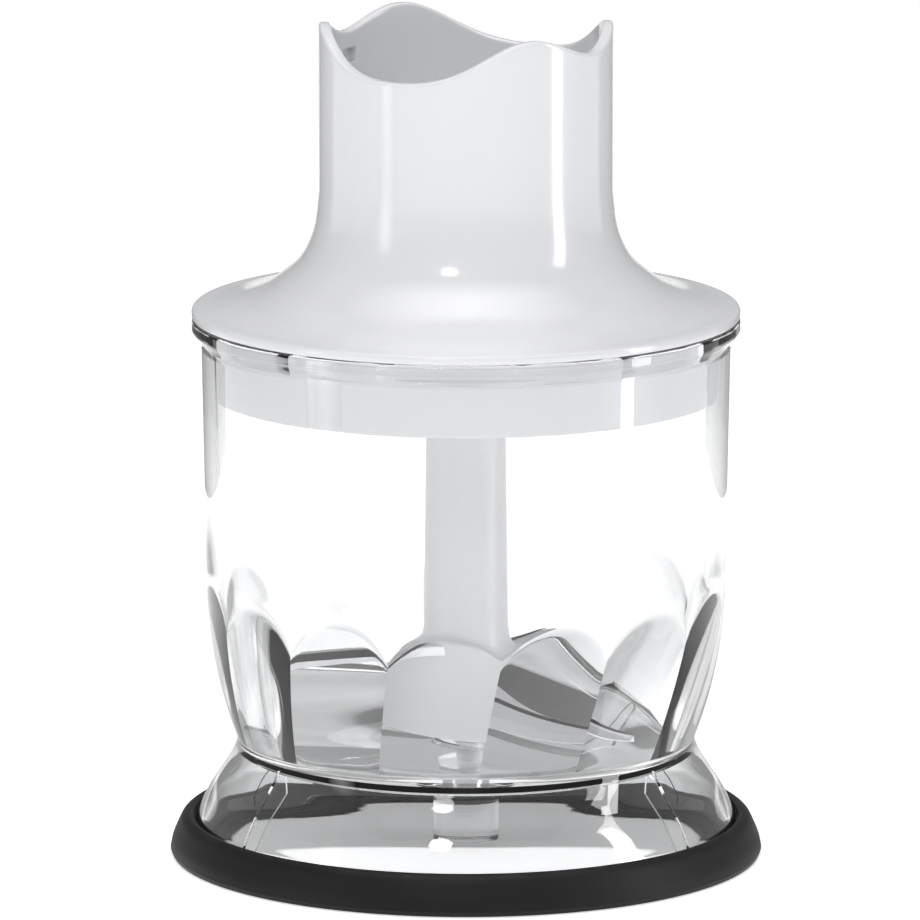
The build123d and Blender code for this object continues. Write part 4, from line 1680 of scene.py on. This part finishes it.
@dataclass
class Studio:
    """Floor, light and camera, in metres.

    Attributes:
        target: Point that the camera and the softboxes face.
        camera_place: The camera's place.
        lens: Focal length in millimetres, for a sensor of the width given next.
        shift: The lens's shift, as a share of the picture.
        floor_tone: The floor's brightness.
        floor_glow: Light that the floor gives off.
        painted_floor_shade: Radius within which the floor doesn't glow for reflected and refracted
            rays, and width over which the glow starts: painted shade of the object on the floor behind
            it.
        glow_line: Width over which the glow starts in front of the axis: a painted pool of light where
            light falls through the clear foot.
        floor_reach: Half the floor's side.
        floor_drop: How far the floor lies below the table height, so that no faces coincide.
        world_light: Strength of the light that comes from all round.
    """

    target: tuple[float, float, float] = (0.0, 0.0, 0.0816)
    camera_place: tuple[float, float, float] = (0.0, -2.244, 0.5237)
    lens: float = 450.7
    sensor: float = 36.0
    shift: tuple[float, float] = (-0.0065, -0.0124)
    floor_tone: float = 0.9
    floor_glow: float = 0.58
    painted_floor_shade: tuple[float, float] = (0.13, 0.1)
    glow_line: float = 0.002
    floor_reach: float = 30.0
    floor_drop: float = 0.0002
    world_light: float = 0.36
    softboxes: tuple[Softbox, ...] = (
        Softbox("right_strip", 74.0, 8.0, 0.46, (0.08, 0.42), 7.0, fills=False),
        Softbox("left_panel", -63.0, 5.0, 0.6, (0.18, 0.5), 4.0, soft_edge=0.9, fills=False),
        Softbox("front_disc", -13.0, 41.0, 0.8, (0.13, 0.13), 14.0, round_face=True, fills=False),
        Softbox("overhead", 0.0, 86.0, 0.9, (1.4, 1.4), 4.6, soft_edge=1.0),
        Softbox("right_flag", 143.0, 0.0, 0.35, (0.24, 0.6), 0.3, fills=False,
                seen_through=False),
        Softbox("left_flag", -143.0, 0.0, 0.35, (0.24, 0.6), 0.25, fills=False,
                seen_through=False),
        Softbox("front_fill", -5.0, 42.0, 1.6, (1.4, 1.0), 2.1, shines=False),
    )

    def place_camera(self) -> None:
        """Makes the camera."""
        data = bpy.data.cameras.new("camera")
        data.lens = self.lens
        data.sensor_width = self.sensor
        data.shift_x, data.shift_y = self.shift
        data.clip_end = 20.0
        camera = bpy.data.objects.new("camera", data)
        camera.location = self.camera_place
        looking = Vector(self.target) - Vector(self.camera_place)
        camera.rotation_euler = looking.to_track_quat("-Z", "Y").to_euler()
        bpy.context.scene.collection.objects.link(camera)
        bpy.context.scene.camera = camera

    def lay_floor(self) -> None:
        """Makes the pale floor, whose material paints shade behind the object."""
        half = self.floor_reach
        corners = [(-half, -half, 0), (half, -half, 0), (half, half, 0), (-half, half, 0)]
        data = bpy.data.meshes.new("studio_floor")
        data.from_pydata(corners, [], [(0, 1, 2, 3)])
        data.materials.append(self.floor_material())
        floor = bpy.data.objects.new("studio_floor", data)
        floor.location.z = -self.floor_drop
        bpy.context.scene.collection.objects.link(floor)

    def floor_material(self) -> bpy.types.Material:
        """Makes the floor's surface, which glows evenly for the camera; for other rays it glows only
        away from the object and, as painted light falling through the clear foot, in front of the
        axis, so that painted shade lies behind the object.

        Returns:
            The material.
        """
        material = bpy.data.materials.new("studio_floor")
        material.use_nodes = True
        shader = material.node_tree.nodes["Principled BSDF"]
        shader.inputs["Base Color"].default_value = (*[self.floor_tone] * 3, 1.0)
        shader.inputs["Roughness"].default_value = 0.9
        shader.inputs["Specular IOR Level"].default_value = 0.0
        shader.inputs["Emission Strength"].default_value = 1.0
        tree = material.node_tree
        # Painted shade: near the axis and behind it the floor doesn't glow for reflected and refracted
        # rays; in front of the axis it glows as painted light.
        place = add_node(tree, "ShaderNodeVectorMath", operation="LENGTH")
        tree.links.new(add_node(tree, "ShaderNodeTexCoord").outputs["Object"], place.inputs[0])
        far = (Field(tree, place.outputs["Value"]) - self.painted_floor_shade[0]) / self.painted_floor_shade[1]
        along = add_node(tree, "ShaderNodeSeparateXYZ")
        tree.links.new(add_node(tree, "ShaderNodeTexCoord").outputs["Object"], along.inputs[0])
        near = Field(tree, along.outputs["Y"]) / -self.glow_line
        far = far.reckon("MAXIMUM", near).reckon("MAXIMUM", 0.0).reckon("MINIMUM", 1.0)
        direct = Field(tree, add_node(tree, "ShaderNodeLightPath").outputs["Is Camera Ray"])
        glow = far.reckon("MAXIMUM", direct) * self.floor_glow
        mixed = add_node(tree, "ShaderNodeCombineXYZ")
        for axis in "XYZ":
            glow.plug(mixed.inputs[axis])
        tree.links.new(mixed.outputs[0], shader.inputs["Emission Color"])
        return material

    def light_world(self) -> None:
        """Makes the even light that comes from all round."""
        world = bpy.data.worlds.new("studio_world")
        world.use_nodes = True
        background = world.node_tree.nodes["Background"]
        background.inputs["Color"].default_value = (0.98, 0.99, 1.0, 1.0)
        background.inputs["Strength"].default_value = self.world_light
        bpy.context.scene.world = world

    def softbox_material(self, box: Softbox) -> bpy.types.Material:
        """Makes the face of a softbox, which fades towards its edges.

        Args:
            box: The softbox.

        Returns:
            The material.
        """
        material = bpy.data.materials.new(f"{box.name}_face")
        material.use_nodes = True
        tree = material.node_tree
        tree.nodes.remove(tree.nodes["Principled BSDF"])
        face = add_node(tree, "ShaderNodeEmission")
        place = add_node(tree, "ShaderNodeSeparateXYZ")
        tree.links.new(add_node(tree, "ShaderNodeTexCoord").outputs["Object"], place.inputs[0])
        strength = Field(tree, box.radiance)
        if box.soft_edge > 0:
            for axis, width in zip("XY", box.size):
                off = Field(tree, place.outputs[axis]).reckon("ABSOLUTE") / (width / 2)
                fade = (Field(tree, 1.0) - off) / box.soft_edge
                strength = fade.reckon("SMOOTH_MIN", 1.0, 0.3).reckon("MAXIMUM", 0.0) * strength
        strength.plug(face.inputs["Strength"])
        tree.links.new(face.outputs[0], tree.nodes["Material Output"].inputs["Surface"])
        return material

    @staticmethod
    def softbox_outline(box: Softbox, disc_steps: int = 48) -> list[tuple[float, float, int]]:
        """Draws the face of a softbox.

        Args:
            box: The softbox.
            disc_steps: Corners of a disc.

        Returns:
            The face's corners.
        """
        width, height = (side / 2 for side in box.size)
        if not box.round_face:
            return [(-width, -height, 0), (width, -height, 0), (width, height, 0), (-width, height, 0)]
        turns = [2 * math.pi * step / disc_steps for step in range(disc_steps)]
        return [(width * math.cos(turn), height * math.sin(turn), 0) for turn in turns]

    def set_softbox(self, box: Softbox) -> None:
        """Puts up one softbox, facing the object.

        Args:
            box: The softbox.
        """
        turn, rise = math.radians(box.azimuth), math.radians(box.elevation)
        level = math.cos(rise)
        away = Vector((math.sin(turn) * level, -math.cos(turn) * level, math.sin(rise)))
        corners = self.softbox_outline(box)
        data = bpy.data.meshes.new(box.name)
        data.from_pydata(corners, [], [tuple(range(len(corners)))])
        data.materials.append(self.softbox_material(box))
        panel = bpy.data.objects.new(box.name, data)
        panel.location = Vector(self.target) + away * box.distance
        panel.rotation_euler = away.to_track_quat("Z", "Y").to_euler()
        panel.visible_camera = False
        panel.visible_diffuse = box.fills
        panel.visible_shadow = box.fills
        panel.visible_glossy = box.shines
        panel.visible_transmission = box.shines and box.seen_through
        bpy.context.scene.collection.objects.link(panel)

    def build(self) -> None:
        """Sets up the whole studio."""
        self.place_camera()
        self.lay_floor()
        self.light_world()
        for box in self.softboxes:
            self.set_softbox(box)
        scene = bpy.context.scene
        scene.view_settings.view_transform = "Standard"
        scene.cycles.max_bounces = 24
        scene.cycles.transmission_bounces = 24
        LOG.info("studio with %d softboxes", len(self.softboxes))


def main() -> None:
    """Builds the studio and every sub-assembly in order."""
    logging.basicConfig(level=logging.INFO, format="%(name)s: %(message)s")
    Studio().build()
    shop = Workshop()
    RubberRing().build(shop)
    Bowl().build(shop)
    LidHousing().build(shop)
    LidPlate().build(shop)
    BladeUnit().build(shop)
    DriveTrain().build(shop)


if __name__ == "__main__":
    main()
